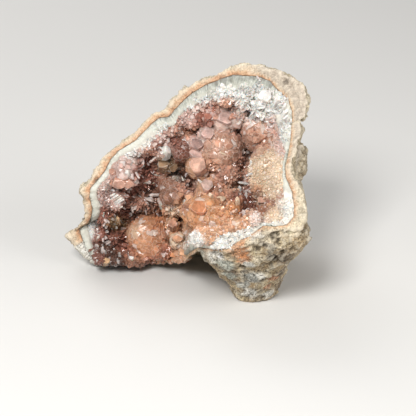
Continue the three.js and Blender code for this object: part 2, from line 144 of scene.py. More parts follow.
world = bpy.data.worlds.new("room light")
world.use_nodes = True
fill(world.node_tree.nodes["Background"], {"Color": linear("F4F5F7"), "Strength": ROOM_LIGHT})
bpy.context.scene.world = world
bpy.context.scene.view_settings.view_transform = "Standard"

table_mesh = bpy.data.meshes.new("table")
table_mesh.from_pydata(TABLE_CORNERS, [], [(0, 1, 2, 3)])
table_top = bpy.data.objects.new("table", table_mesh)
bpy.context.collection.objects.link(table_top)
# Matt emulsion paint: a soft shadow and no mirror image.
paint, shader, _ = new_material("pale matt table paint")
fill(shader, {"Base Color": linear("D6D4D0"), "Roughness": 0.75})
table_mesh.materials.append(paint)


# ---- Host rock --------------------------------------------------------------------
# The altered volcanic rock that held the bubble: cream and peach where it is freshly
# broken, ochre and grey outside. It broke in chips, and it stands on its own sole.

ROCK_SKIN_MM = 0.67
MOUTH = Vector((0.1, 0.95, -0.28)).normalized()  # from the mouth of the hollow inwards
SEEN_FROM_MM = 780  # spots are given in mm across and up, as seen at this distance
SPOT_ORIGIN = (7.3, 25.3)  # where the middle of the view lies in those measures
BREAK_MM = 5.2  # width of the fresh break round the band
WIDER_BREAK_MM = 4  # how much wider it is on the top shoulder
TOP_SHOULDER_MM = (62, 76)  # the heights between which it widens
CRAG_MM, CHIP_MM, FLAKE_MM = 7.5, 3.4, 1.5  # sizes of the chips that the rock broke in
SEAM_MM = 1.3  # how far the rock reaches over to close its seam with the band
LEDGE = (43, 25)  # the clean ledge at the right end of the lip: across and up
KNOB = (47, 44)  # the weathered knob at the right: across and up
KNOB_REACH = (5.5, 10)
UPPER_FROM = 24  # above this height as seen, the rim at the back is clean and creamy
COAT_END = (-47.2, 9.7)  # the chalky coat at the left ends on a line from here
COAT_RISE = 0.63  # that climbs this much for each mm across

# From the quartz outwards, the tones of a fresh break by share of its depth.
BREAK_TONES = [(0.0, "857C70"), (0.06, "A88468"), (0.12, "CE9870"), (0.22, "D8B592"), (0.36, "DCC5A8"),
               (0.85, "DACDB8")]
BREAK_DEPTH_MM = 7.0
# Kinds of node by their short names, and the inputs and settings of a mix of colours.
MATH, VECTORS, RANGE = "ShaderNodeMath", "ShaderNodeVectorMath", "ShaderNodeMapRange"
READ, NOISE, BUMP = "ShaderNodeAttribute", "ShaderNodeTexNoise", "ShaderNodeBump"
RAMP, MIX = "ShaderNodeValToRGB", "ShaderNodeMix"
SHARE, UNDER, OVER = 0, 6, 7
OF_COLOURS = {"data_type": "RGBA", "out": 2}

ROCK_COLOURS = {
    "ochre": "B29B78", "sand": "C9B794", "cream": "E1D2B5", "rust": "C48658", "peach": "D49C76",
    "brown": "7E6C56", "drab": "9C8A6E", "grey": "9A907F", "slate": "BCBCB4", "chalk": "E2DFD6",
    "celadon": "C6C9BC",
}
# Patches of colour on the rock: across, up, radius in mm, and colour.
ROCK_PATCHES = [
    (40, 18, 6, "cream"), (45, 24, 7, "cream"), (46, 31, 5, "cream"), (33, 15, 5, "cream"),
    (26, 12.5, 5, "cream"), (27.5, 14.5, 3, "chalk"), (20, 11, 3, "peach"), (20.5, 8, 5, "rust"),
    (22, 5.5, 4, "rust"), (18, 8.5, 3, "peach"), (22.5, 3.5, 3, "peach"), (27, 8, 3.5, "sand"),
    (24, 2.5, 3.5, "chalk"), (28, 4.5, 3.5, "cream"), (34, 5, 3.5, "grey"), (33, 9, 3, "grey"),
    (38.5, 5, 5.5, "brown"), (44, 11, 4, "ochre"), (38, 11, 3, "sand"), (46, 16, 4, "drab"),
    (33, -4, 4, "sand"), (17, -0.5, 3.5, "brown"), (14, 2, 5.5, "celadon"), (16.5, -2.5, 4, "celadon"),
    (25, -3, 5, "slate"), (20, -4.5, 3, "brown"), (30, -6, 4, "sand"), (34, -3, 3.5, "peach"),
    (31, -6.5, 2.5, "peach"), (19, -9, 3.5, "cream"), (24, -9.5, 4.5, "chalk"), (31.5, -9.5, 3.5, "chalk"),
    (28, -12, 3, "drab"), (8, 6, 5, "chalk"), (11.5, 5.8, 3.5, "chalk"), (5, 8, 4, "celadon"),
    (21, -6, 3, "slate"), (29, -2.5, 2.5, "chalk"), (36, -6, 4, "brown"), (38, 0, 4.5, "brown"),
    (47, 45, 9, "drab"), (45, 52, 5, "brown"), (46, 37, 5, "ochre"), (-37, 3, 5, "celadon"),
]
# Three tones that drift over the whole rock: colour, size in mm, seed, and the noise's range.
ROCK_DRIFTS = [("drab", 9, 7, 0.05, 0.4), ("sand", 5, 9, 0.1, 0.4), ("grey", 4, 11, 0.2, 0.45)]
# Holes and cracks in it, sunk into the rock and darkened with painted shade: across, up, radius and depth in
# mm.
ROCK_PITS = [
    (34.2, 13.5, 2.6, 1.5), (35.4, 11.5, 1.8, 1.2), (27.8, 9, 1.8, 1.2), (30.4, 9.6, 1.3, 0.9),
    (35, 4.8, 1.8, 1), (37, 7.4, 1.6, 0.8), (30, -3.5, 1.4, 0.8), (32, -5.5, 1.2, 0.7), (10, 7.4, 1.3, 0.9),
    (13, 5.2, 1.3, 0.9), (16, 3.4, 1.3, 0.9), (21, 1, 1.4, 0.8), (42, 9, 1.6, 0.9), (-38.1, 37, 1.4, 0.8),
    (-44.3, 17.3, 1.4, 0.8), (-43.4, 27.9, 1.3, 0.7), (39, 76.5, 1.6, 0.8),
]
# Where the rim in front is worn down to rough rock: across, up and radius in mm.
WORN_RIM = [(12, 7, 7), (20, 9, 8), (29, 12, 8), (38, 17, 8), (45, 22, 7), (47, 30, 6), (3, 9, 5)]


def merged_copy(node_name):
    """The CAD node's mesh with its loose triangles joined, as a bmesh."""
    source = bmesh.new()
    source.from_mesh(frame["nodes"][node_name].data)
    bmesh.ops.remove_doubles(source, verts=source.verts, dist=1e-7)
    return source


def tree_of(node_name):
    """The CAD node's surface, ready to be asked for distances and rays."""
    source = merged_copy(node_name)
    tree = BVHTree.FromBMesh(source)
    source.free()
    return tree


def dense_mesh(node_name, skin_mm):
    """The CAD node's shape again as an even skin of small faces."""
    source = merged_copy(node_name)
    mesh = bpy.data.meshes.new(node_name + " copy")
    source.to_mesh(mesh)
    source.free()
    carrier = bpy.data.objects.new(node_name + " copy", mesh)
    bpy.context.collection.objects.link(carrier)
    remesh = carrier.modifiers.new("even skin", "REMESH")
    remesh.mode = "VOXEL"
    remesh.voxel_size = skin_mm * MM
    graph = bpy.context.evaluated_depsgraph_get()
    dense = bpy.data.meshes.new_from_object(carrier.evaluated_get(graph))
    bpy.data.objects.remove(carrier)
    return dense


def places_of(mesh):
    """The mesh's points, one row each, in metres."""
    flat = np.empty(len(mesh.vertices) * 3)
    mesh.vertices.foreach_get("co", flat)
    return flat.reshape(-1, 3)


def normals_of(mesh):
    """Which way the surface faces at each point."""
    flat = np.empty(len(mesh.vertices) * 3)
    mesh.vertex_normals.foreach_get("vector", flat)
    return flat.reshape(-1, 3)


def move_to(mesh, places):
    """Puts the mesh's points at these places."""
    mesh.vertices.foreach_set("co", places.ravel())
    mesh.update()


def softened(mesh, times):
    """The points' places after each has moved, again and again, towards its neighbours' middle."""
    ends = np.empty(len(mesh.edges) * 2, dtype=np.int64)
    mesh.edges.foreach_get("vertices", ends)
    a, b = ends[0::2], ends[1::2]
    places = places_of(mesh)
    count = np.bincount(a, minlength=len(places)) + np.bincount(b, minlength=len(places))
    for _ in range(times):
        total = np.empty_like(places)
        for axis in range(3):
            total[:, axis] = (np.bincount(a, places[b, axis], len(places))
                              + np.bincount(b, places[a, axis], len(places)))
        places += 0.5 * (total / count[:, None] - places)
    return places


def hollows_mm(mesh, times):
    """How far each point lies under the surface around it: above 0 in a hollow, below 0 on a ridge."""
    return np.sum((softened(mesh, times) - places_of(mesh)) * normals_of(mesh), axis=1) / MM


def distance_mm(tree, places):
    """How far each place is from the surface of a tree."""
    return np.array([tree.find_nearest(Vector(p))[3] for p in places]) / MM


def reach_over(mesh, tree, reach_mm, share):
    """Moves points that lie beside a neighbouring layer towards it, so that no gap shows at the seam."""
    places = places_of(mesh)
    for i, (place, normal) in enumerate(zip(places, normals_of(mesh))):
        near, _, _, gap = tree.find_nearest(Vector(place), reach_mm * MM)
        if near and (np.array(near) - place) @ normal > -0.5 * gap:
            places[i] += share * (np.array(near) - place)
    move_to(mesh, places)


def ripple(places, spacing_mm, seed=0.0):
    """Smooth noise from -1 to 1 whose lumps are about spacing_mm apart."""
    shift = Vector((seed, 2.7 * seed, -1.3 * seed))
    return np.array([noise.noise(Vector(p) / (spacing_mm * MM) + shift) for p in places])


def chips(places, spacing_mm, seed=0.0):
    """A surface broken into flat tilted chips: each point's height, and its chip's tone.

    Both run from about -1 to 1."""
    shift = Vector((seed, -seed, 3.1 * seed))
    height = np.empty(len(places))
    tone = np.empty(len(places))
    for i, p in enumerate(places):
        q = Vector(p) / (spacing_mm * MM) + shift
        middle = noise.voronoi(q)[1][0]
        tilt = Vector([noise.noise(middle * pace) for pace in (3.7, 4.3, 6.1)])
        height[i] = 0.6 * noise.noise(middle * 5.1) + 1.3 * tilt.dot(q - middle)
        tone[i] = noise.noise(middle * 7.3)
    return height, tone


def smooth_step(low, high, value):
    """Rises smoothly from 0 at low to 1 at high."""
    t = np.clip((value - low) / (high - low), 0, 1)
    return t * t * (3 - 2 * t)


def write_attribute(mesh, name, values, kind="FLOAT", field="value", domain="POINT"):
    """Keeps values under a name for the materials to read, in place of older ones."""
    if name in mesh.attributes:
        mesh.attributes.remove(mesh.attributes[name])
    attribute = mesh.attributes.new(name, kind, domain)
    attribute.data.foreach_set(field, np.asarray(values, dtype=np.float32).ravel())


def write_values(mesh, **values):
    """Keeps one number for each point under each name."""
    for name, numbers in values.items():
        write_attribute(mesh, name, numbers)


def write_colours(mesh, name, colours):
    """Keeps one colour for each point under that name."""
    filled = np.ones((len(colours), 4))
    filled[:, :3] = colours[:, :3]
    write_attribute(mesh, name, filled, "FLOAT_COLOR", "color")


def mix_in(colours, share, hex_colour):
    """Turns each colour towards another by its own share."""
    colours += share[:, None] * (np.array(linear(hex_colour)[:3]) - colours)


def as_seen(places):
    """Across and up, in mm, where each place shows from the front."""
    way = places - np.array(EYE)
    depth = way @ np.array(SIGHT)
    across = SPOT_ORIGIN[0] + SEEN_FROM_MM * (way @ np.array(RIGHT)) / depth
    up = SPOT_ORIGIN[1] + SEEN_FROM_MM * (way @ np.array(RISE)) / depth
    return across, up


def spots_mask(places, spots, core=0.6):
    """1 in the core of each spot as seen from the front, falling to 0 at its radius."""
    across, up = as_seen(places)
    mask = np.zeros(len(places))
    for x, y, radius in spots:
        mask = np.maximum(mask, smooth_step(radius, core * radius, np.hypot(across - x, up - y)))
    return mask


def spot_on(tree, across, up):
    """What one meets first when looking at (across, up): place and normal, or None."""
    way = SIGHT * SEEN_FROM_MM + RIGHT * (across - SPOT_ORIGIN[0]) + RISE * (up - SPOT_ORIGIN[1])
    place, normal, _, _ = tree.ray_cast(EYE, way.normalized())
    return (place, normal) if place else None


def gap_from_spot(tree, places, across, up):
    """How far each place is, in mm, from what one meets at (across, up)."""
    spot = spot_on(tree, across, up)
    return np.linalg.norm(places - np.array(spot[0]), axis=1) / MM if spot else np.full(len(places), np.inf)


def finished(name, mesh, material, replaced=None):
    """Makes the mesh a piece of the object, in its material and in the place of its CAD node."""
    piece = bpy.data.objects.new(name, mesh)
    bpy.context.collection.objects.link(piece)
    mesh.materials.clear()
    mesh.materials.append(material)
    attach(piece, "root")
    if replaced:
        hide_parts(replaced)


def survey_rock(mesh):
    """What the rock's relief and colours depend on at each point, in mm and in shares from 0 to 1."""
    places = places_of(mesh)
    at = SimpleNamespace(places=places, normals=normals_of(mesh), height=places[:, 2] / MM)
    at.across, at.up = as_seen(places)
    at.band = distance_mm(BAND_TREE, places)
    at.worn = spots_mask(places, WORN_RIM, 0.5)
    at.facing = -at.normals @ np.array(MOUTH)
    width = BREAK_MM + WIDER_BREAK_MM * smooth_step(*TOP_SHOULDER_MM, at.height)
    broken = smooth_step(0.3, 0.55, at.facing) * smooth_step(width + 1, width - 0.4, at.band)
    at.fresh = broken * (1 - 0.9 * at.worn * smooth_step(0.7, 1.7, at.band))
    at.ledge = smooth_step(10, 6, np.hypot(at.across - LEDGE[0], 0.8 * (at.up - LEDGE[1])))
    at.away = smooth_step(0.3, 2.2, at.band)
    at.blur = ripple(places, 2.5, 8) + 0.6 * ripple(places, 1.2, 9)
    at.pit = np.zeros(len(places))
    for x, y, radius, depth in ROCK_PITS:
        gap = gap_from_spot(ROCK_TREE, places, x, y) + 1.4 * at.blur
        at.pit = np.maximum(at.pit, depth * smooth_step(radius, 0.3 * radius, gap))
    return at


def roughen_rock(mesh, at):
    """Breaks the weathered skin into chips and crumples the fresh rim; the sole stays flat."""
    crag, _ = chips(at.places, CRAG_MM, 1)
    chip, at.chip_tone = chips(at.places, CHIP_MM, 5)
    flake, at.flake_tone = chips(at.places, FLAKE_MM, 8)
    crags = 1.7 * crag + (1 - 0.6 * at.ledge) * (0.9 * chip + 0.35 * flake)
    crags += 0.12 * ripple(at.places, 1.1, 4) + 0.1
    rim = 1.4 * np.abs(ripple(at.places, 4.2, 6)) + 1.1 * np.abs(ripple(at.places, 2.2, 12))
    rim += 0.6 * ripple(at.places, 1.3, 4)
    rim += 0.4 * chips(at.places, 2.4, 7)[0] - 0.35
    edge = smooth_step(11, 7, at.band) * smooth_step(0.0, 0.3, at.facing)
    weathered = (1 - at.fresh) * crags * (1 - 0.6 * edge) * (1 - 0.5 * at.worn)
    shift = at.away * (weathered + np.maximum(edge, at.fresh) * 0.9 * rim) - at.pit
    shift *= smooth_step(0.1, 1.2, at.height)
    shift *= smooth_step(0.6, 1.0, at.band)
    move_to(mesh, at.places + at.normals * (shift * MM)[:, None])
    reach_over(mesh, BAND_TREE, SEAM_MM, 0.6)
    settled = places_of(mesh)
    settled[:, 2] = np.maximum(settled[:, 2], 0)
    move_to(mesh, settled)


def stain_and_shade_rock(mesh, at):
    """Writes the rock's colours, where it is fresh, pale, speckled or rubbed, and its painted shade in pits
    and hollows.
    """
    colours = np.tile(np.array(linear(ROCK_COLOURS["ochre"])[:3]), (len(at.places), 1))
    for colour, size, seed, low, high in ROCK_DRIFTS:
        mix_in(colours, smooth_step(low, high, ripple(at.places, size, seed)), ROCK_COLOURS[colour])
    for x, y, radius, colour in ROCK_PATCHES:
        gap = gap_from_spot(ROCK_TREE, at.places, x, y) + 1.5 * at.blur
        mix_in(colours, smooth_step(radius, 0.45 * radius, gap), ROCK_COLOURS[colour])
    knob = np.hypot((at.across - KNOB[0]) / KNOB_REACH[0], (at.up - KNOB[1]) / KNOB_REACH[1])
    upper = smooth_step(UPPER_FROM, UPPER_FROM + 10, at.up) * (1 - 0.8 * smooth_step(1.2, 0.8, knob))
    upper *= smooth_step(11, 8, at.band + at.blur)
    upper *= smooth_step(-0.5, 0.1, at.facing + 0.2 * at.blur)
    mix_in(colours, upper, ROCK_COLOURS["cream"])
    coat_line = COAT_END[1] + COAT_RISE * (at.across - COAT_END[0]) - at.up + 0.5 * at.blur
    coated = smooth_step(-0.6, 0.8, coat_line) * smooth_step(-35, -38, at.across)
    mix_in(colours, coated, ROCK_COLOURS["chalk"])
    tone = (0.8 * at.chip_tone + 0.5 * at.flake_tone) * (1 - 0.8 * upper)
    write_colours(mesh, "patch", np.clip(colours * (1 + 0.6 * tone)[:, None], 0, 0.9))

    pale = smooth_step(22, 32, at.across) * smooth_step(25, 60, at.up)
    deep = hollows_mm(mesh, 6)
    # Painted shade: darker in the rock's hollows, less so on the clean creamy rim and the ledge.
    clean_and_unshaded = np.maximum(0.6 * upper, 0.8 * at.ledge)
    hollow_shade = 0.75 * at.away * (1 - clean_and_unshaded) * smooth_step(0.1, 0.55, deep)
    hollow_shade *= 0.35 + 0.65 * smooth_step(-0.15, 0.2, ripple(at.places, 8, 13))
    # The pits and hollows get their painted shade under one name here.
    write_values(mesh, band_distance=at.band * (1 + 0.5 * pale),
                 fresh=at.fresh * (1 - coated),
                 dark=np.clip(at.pit / 2.2 + hollow_shade, 0, 0.9),
                 speckled=0.8 - 0.65 * clean_and_unshaded,
                 worn_ridge=at.away * smooth_step(0.0, -0.3, deep),
                 pale=pale * at.fresh * smooth_step(0.9, 1.9, at.band + 0.5 * at.blur))


def rock_mesh():
    """The CAD rock with its relief, its stains and its painted shade."""
    mesh = dense_mesh("rock_rind", ROCK_SKIN_MM)
    move_to(mesh, softened(mesh, 2))
    at = survey_rock(mesh)
    roughen_rock(mesh, at)
    stain_and_shade_rock(mesh, at)
    mesh.shade_smooth()
    return mesh


def rock_material():
    """Silicified volcanic rock: chipped and dull, chalky where fresh, iron-stained where weathered."""
    material, shader, add = new_material("silicified volcanic rock")
    place = add("ShaderNodeTexCoord", out="Object")
    patch = add(READ, attribute_name="patch", out="Color")
    read = {value: add(READ, attribute_name=value, out="Fac")
            for value in ("band_distance", "fresh", "dark", "pale", "speckled", "worn_ridge")}

    # The break: a grey line at the quartz, then orange, peach and cream over 6 mm. A noise's
    # scale is in lumps per mm: 0.42 gives stains of 2.4 mm, and 1.5 gives grains of 0.7 mm.
    wander = add(NOISE, {"Vector": place, "Scale": 0.42 / MM, "Detail": 3.0})
    waved = add(MATH, {0: wander, 1: 0.5, 2: -0.25}, operation="MULTIPLY_ADD")
    depth = add(RANGE, {"Value": read["band_distance"], "From Max": BREAK_DEPTH_MM})
    share = add(MATH, {0: depth, 1: waved})
    rim = add(RAMP, {"Fac": share}, stops=BREAK_TONES)
    chalk = add(MIX, {SHARE: read["pale"], UNDER: rim, OVER: linear("CABBA9")}, **OF_COLOURS)

    # The weathered skin: its patches and their grains, then the break, dust, ridges, and painted shade in
    # holes and hollows.
    speck = add(NOISE, {"Vector": place, "Scale": 1.5 / MM, "Detail": 4.0, "Roughness": 0.7})
    specks = add(RAMP, {"Fac": speck}, stops=[(0.36, "6E6354"), (0.56, "FFFFFF")])
    rubbing = add(MATH, {0: read["worn_ridge"], 1: 0.35}, operation="MULTIPLY")
    colour = patch
    for amount, over, way in ((read["speckled"], specks, "MULTIPLY"), (read["fresh"], chalk, "MIX"),
                              (0.45, specks, "MULTIPLY"), (rubbing, linear("EFE4CE"), "MIX"),
                              (read["dark"], linear("40372B"), "MIX")):
        colour = add(MIX, {SHARE: amount, UNDER: colour, OVER: over}, blend_type=way, **OF_COLOURS)

    grit = add(NOISE, {"Vector": place, "Scale": 0.6 / MM, "Detail": 3.0})
    lumps = add(BUMP, {"Height": grit, "Strength": 0.8, "Distance": 1.4 * MM})
    bump = add(BUMP, {"Height": speck, "Normal": lumps, "Strength": 0.7, "Distance": 0.5 * MM})
    fill(shader, {"Base Color": colour, "Normal": bump, "Roughness": 0.85})
    return material


ROCK_TREE = tree_of("rock_rind")
BAND_TREE = tree_of("chalcedony_band")
CRUST_TREE = tree_of("amethyst_crust")
rind = rock_mesh()
finished("host_rock", rind, rock_material(), "rock_rind")


# ---- Chalcedony band --------------------------------------------------------------
# The first quartz to coat the bubble's wall: fine fibres that stand square to the wall,
# grey against the rock and white where they open, grown fast to the rock all round.

BAND_SKIN_MM = 0.6
CRUST_SEAM_MM = 1.0  # how far the band reaches over to close its seam with the crystals
MOUTH_RADIUS_MM = 38  # turns an angle round the mouth into mm along the band
# From the rock inwards, the tones of the band's layers by share of its depth.
BAND_LAYERS = [(0.0, "84796D"), (0.06, "7F7E76"), (0.14, "8F9086"), (0.24, "AFB0A5"), (0.34, "C5C5B9"),
               (0.5, "CCCABE"), (0.66, "C0BCB0"), (0.95, "E2DBCF")]
BAND_DEPTH_MM = 6.5


def band_mesh():
    """The CAD band with its fibrous broken face, and where each point lies between rock and hollow."""
    mesh = dense_mesh("chalcedony_band", BAND_SKIN_MM)
    move_to(mesh, softened(mesh, 2))
    places = places_of(mesh)
    normals = normals_of(mesh)
    rock = distance_mm(ROCK_TREE, places)
    facing = smooth_step(0.2, 0.6, -normals @ np.array(MOUTH))
    across, up = as_seen(places)
    lip = smooth_step(34, 28, up) * smooth_step(4, 10, across)
    rough = 0.35 * ripple(places, 2.6, 1) + 0.3 * ripple(places, 1.2, 2)
    rough += lip * (2.0 * np.abs(ripple(places, 2.6, 4)) + 0.9 * ripple(places, 1.4, 5) - 0.4)
    move_to(mesh, places + normals * (facing * smooth_step(0.3, 1.5, rock) * rough * MM)[:, None])
    reach_over(mesh, ROCK_TREE, SEAM_MM, 0.6)
    reach_over(mesh, CRUST_TREE, CRUST_SEAM_MM, 0.5)

    # Its layers are narrow on the lip and at the left, and widest at the top; the lip is whitest.
    around = np.arctan2(up - np.mean(up), across - np.mean(across)) * MOUTH_RADIUS_MM
    widest = smooth_step(22, 6, np.hypot(across - 22, 0.5 * (up - 78)))
    white = 2.6 * lip + 1.6 * smooth_step(33, 38, across)
    spread = (1 + 1.2 * lip) * (1 + 0.8 * smooth_step(-10, -24, across)) / (1 + 0.7 * widest)
    write_values(mesh, around=around, rock_distance=rock * spread + white * smooth_step(0.3, 1.1, rock))
    mesh.shade_smooth()
    return mesh


def band_material():
    """Fibrous chalcedony: waxy and slightly translucent, so light bleeds a little into it."""
    material, shader, add = new_material("white chalcedony")
    place = add("ShaderNodeTexCoord", out="Object")
    rock, around = [add(READ, attribute_name=value, out="Fac") for value in ("rock_distance", "around")]
    # Fibres 0.6 mm wide and 5.5 mm long, and clouds of 1.8 mm.
    grid = add("ShaderNodeCombineXYZ", {"X": around, "Y": rock})
    squash = add("ShaderNodeMapping", {"Vector": grid, "Scale": (1.3, 0.14, 1.0)})
    fibre = add(NOISE, {"Vector": squash, "Scale": 1.3, "Detail": 3.0})
    cloud = add(NOISE, {"Vector": place, "Scale": 0.56 / MM, "Detail": 5.0, "Roughness": 0.75})
    both = add(MATH, {0: fibre, 1: cloud})
    wave = add(MATH, {0: both, 1: 0.5, 2: -0.49}, operation="MULTIPLY_ADD")
    depth = add(RANGE, {"Value": rock, "From Max": BAND_DEPTH_MM})
    share = add(MATH, {0: depth, 1: wave})
    layers = add(RAMP, {"Fac": share}, stops=BAND_LAYERS)
    bump = add(BUMP, {"Height": both, "Strength": 0.6, "Distance": 0.4 * MM})
    fill(shader, {"Base Color": layers, "Normal": bump, "Roughness": 0.4, "IOR": 1.54,
                  "Subsurface Weight": 0.2, "Subsurface Scale": 1.0,
                  "Subsurface Radius": (1.1 * MM, 1.1 * MM, 1.0 * MM)})
    return material


band = band_mesh()
finished("chalcedony_band_skin", band, band_material(), "chalcedony_band")


# ---- Crystal crust ----------------------------------------------------------------
# Quartz that grew from the band into the open hollow: balls and heaps of pink, salmon,
# orange and smoky crystals, all rooted in one cloudy crust that covers the band's inside.

CRUST_SKIN_MM = 0.7
BAND_SEAM_MM = 1.8  # how far the crust reaches over to close its seam with the band
COVER_MM = 3  # no crystal grows where rock or band stands this close over the crust
LOWEST_UP = 2.6  # how low, as seen, the crust's foot reaches at its lower left, in mm
DEPTH_SHARE = 0.35  # how much a zone's distance counts along the line of sight
CLEAR_OF_TABLE = 0.3 * MM
QUARTZ_IOR = 1.544
PRISM_SLOPE = 52  # from level, how steeply the faces of a quartz point slant, in degrees
RANDOM = "FunctionNodeRandomValue"
FINE, BLOCKY, STUBBY, SLENDER, FLAKY = range(5)
QUARTZ = {
    "milk": "E4DFD8", "ice": "C4B9AC", "blush": "D9BBAE", "rose": "CCABA0", "salmon": "D29F85",
    "peach": "D6A584", "apricot": "CB8C66", "tan": "E6CAAE", "honey": "D4986C", "amber": "C8A27C",
    "rust": "A8705F", "dusk": "C29480", "wine": "926254", "plum": "84574A", "soot": "5E4237",
    "pearl": "DFCFC0", "shell": "C39A86", "mauve": "A98B82", "olive": "8A7050", "umber": "A0745F",
    "garnet": "6A4034", "bronze": "90765C",
}
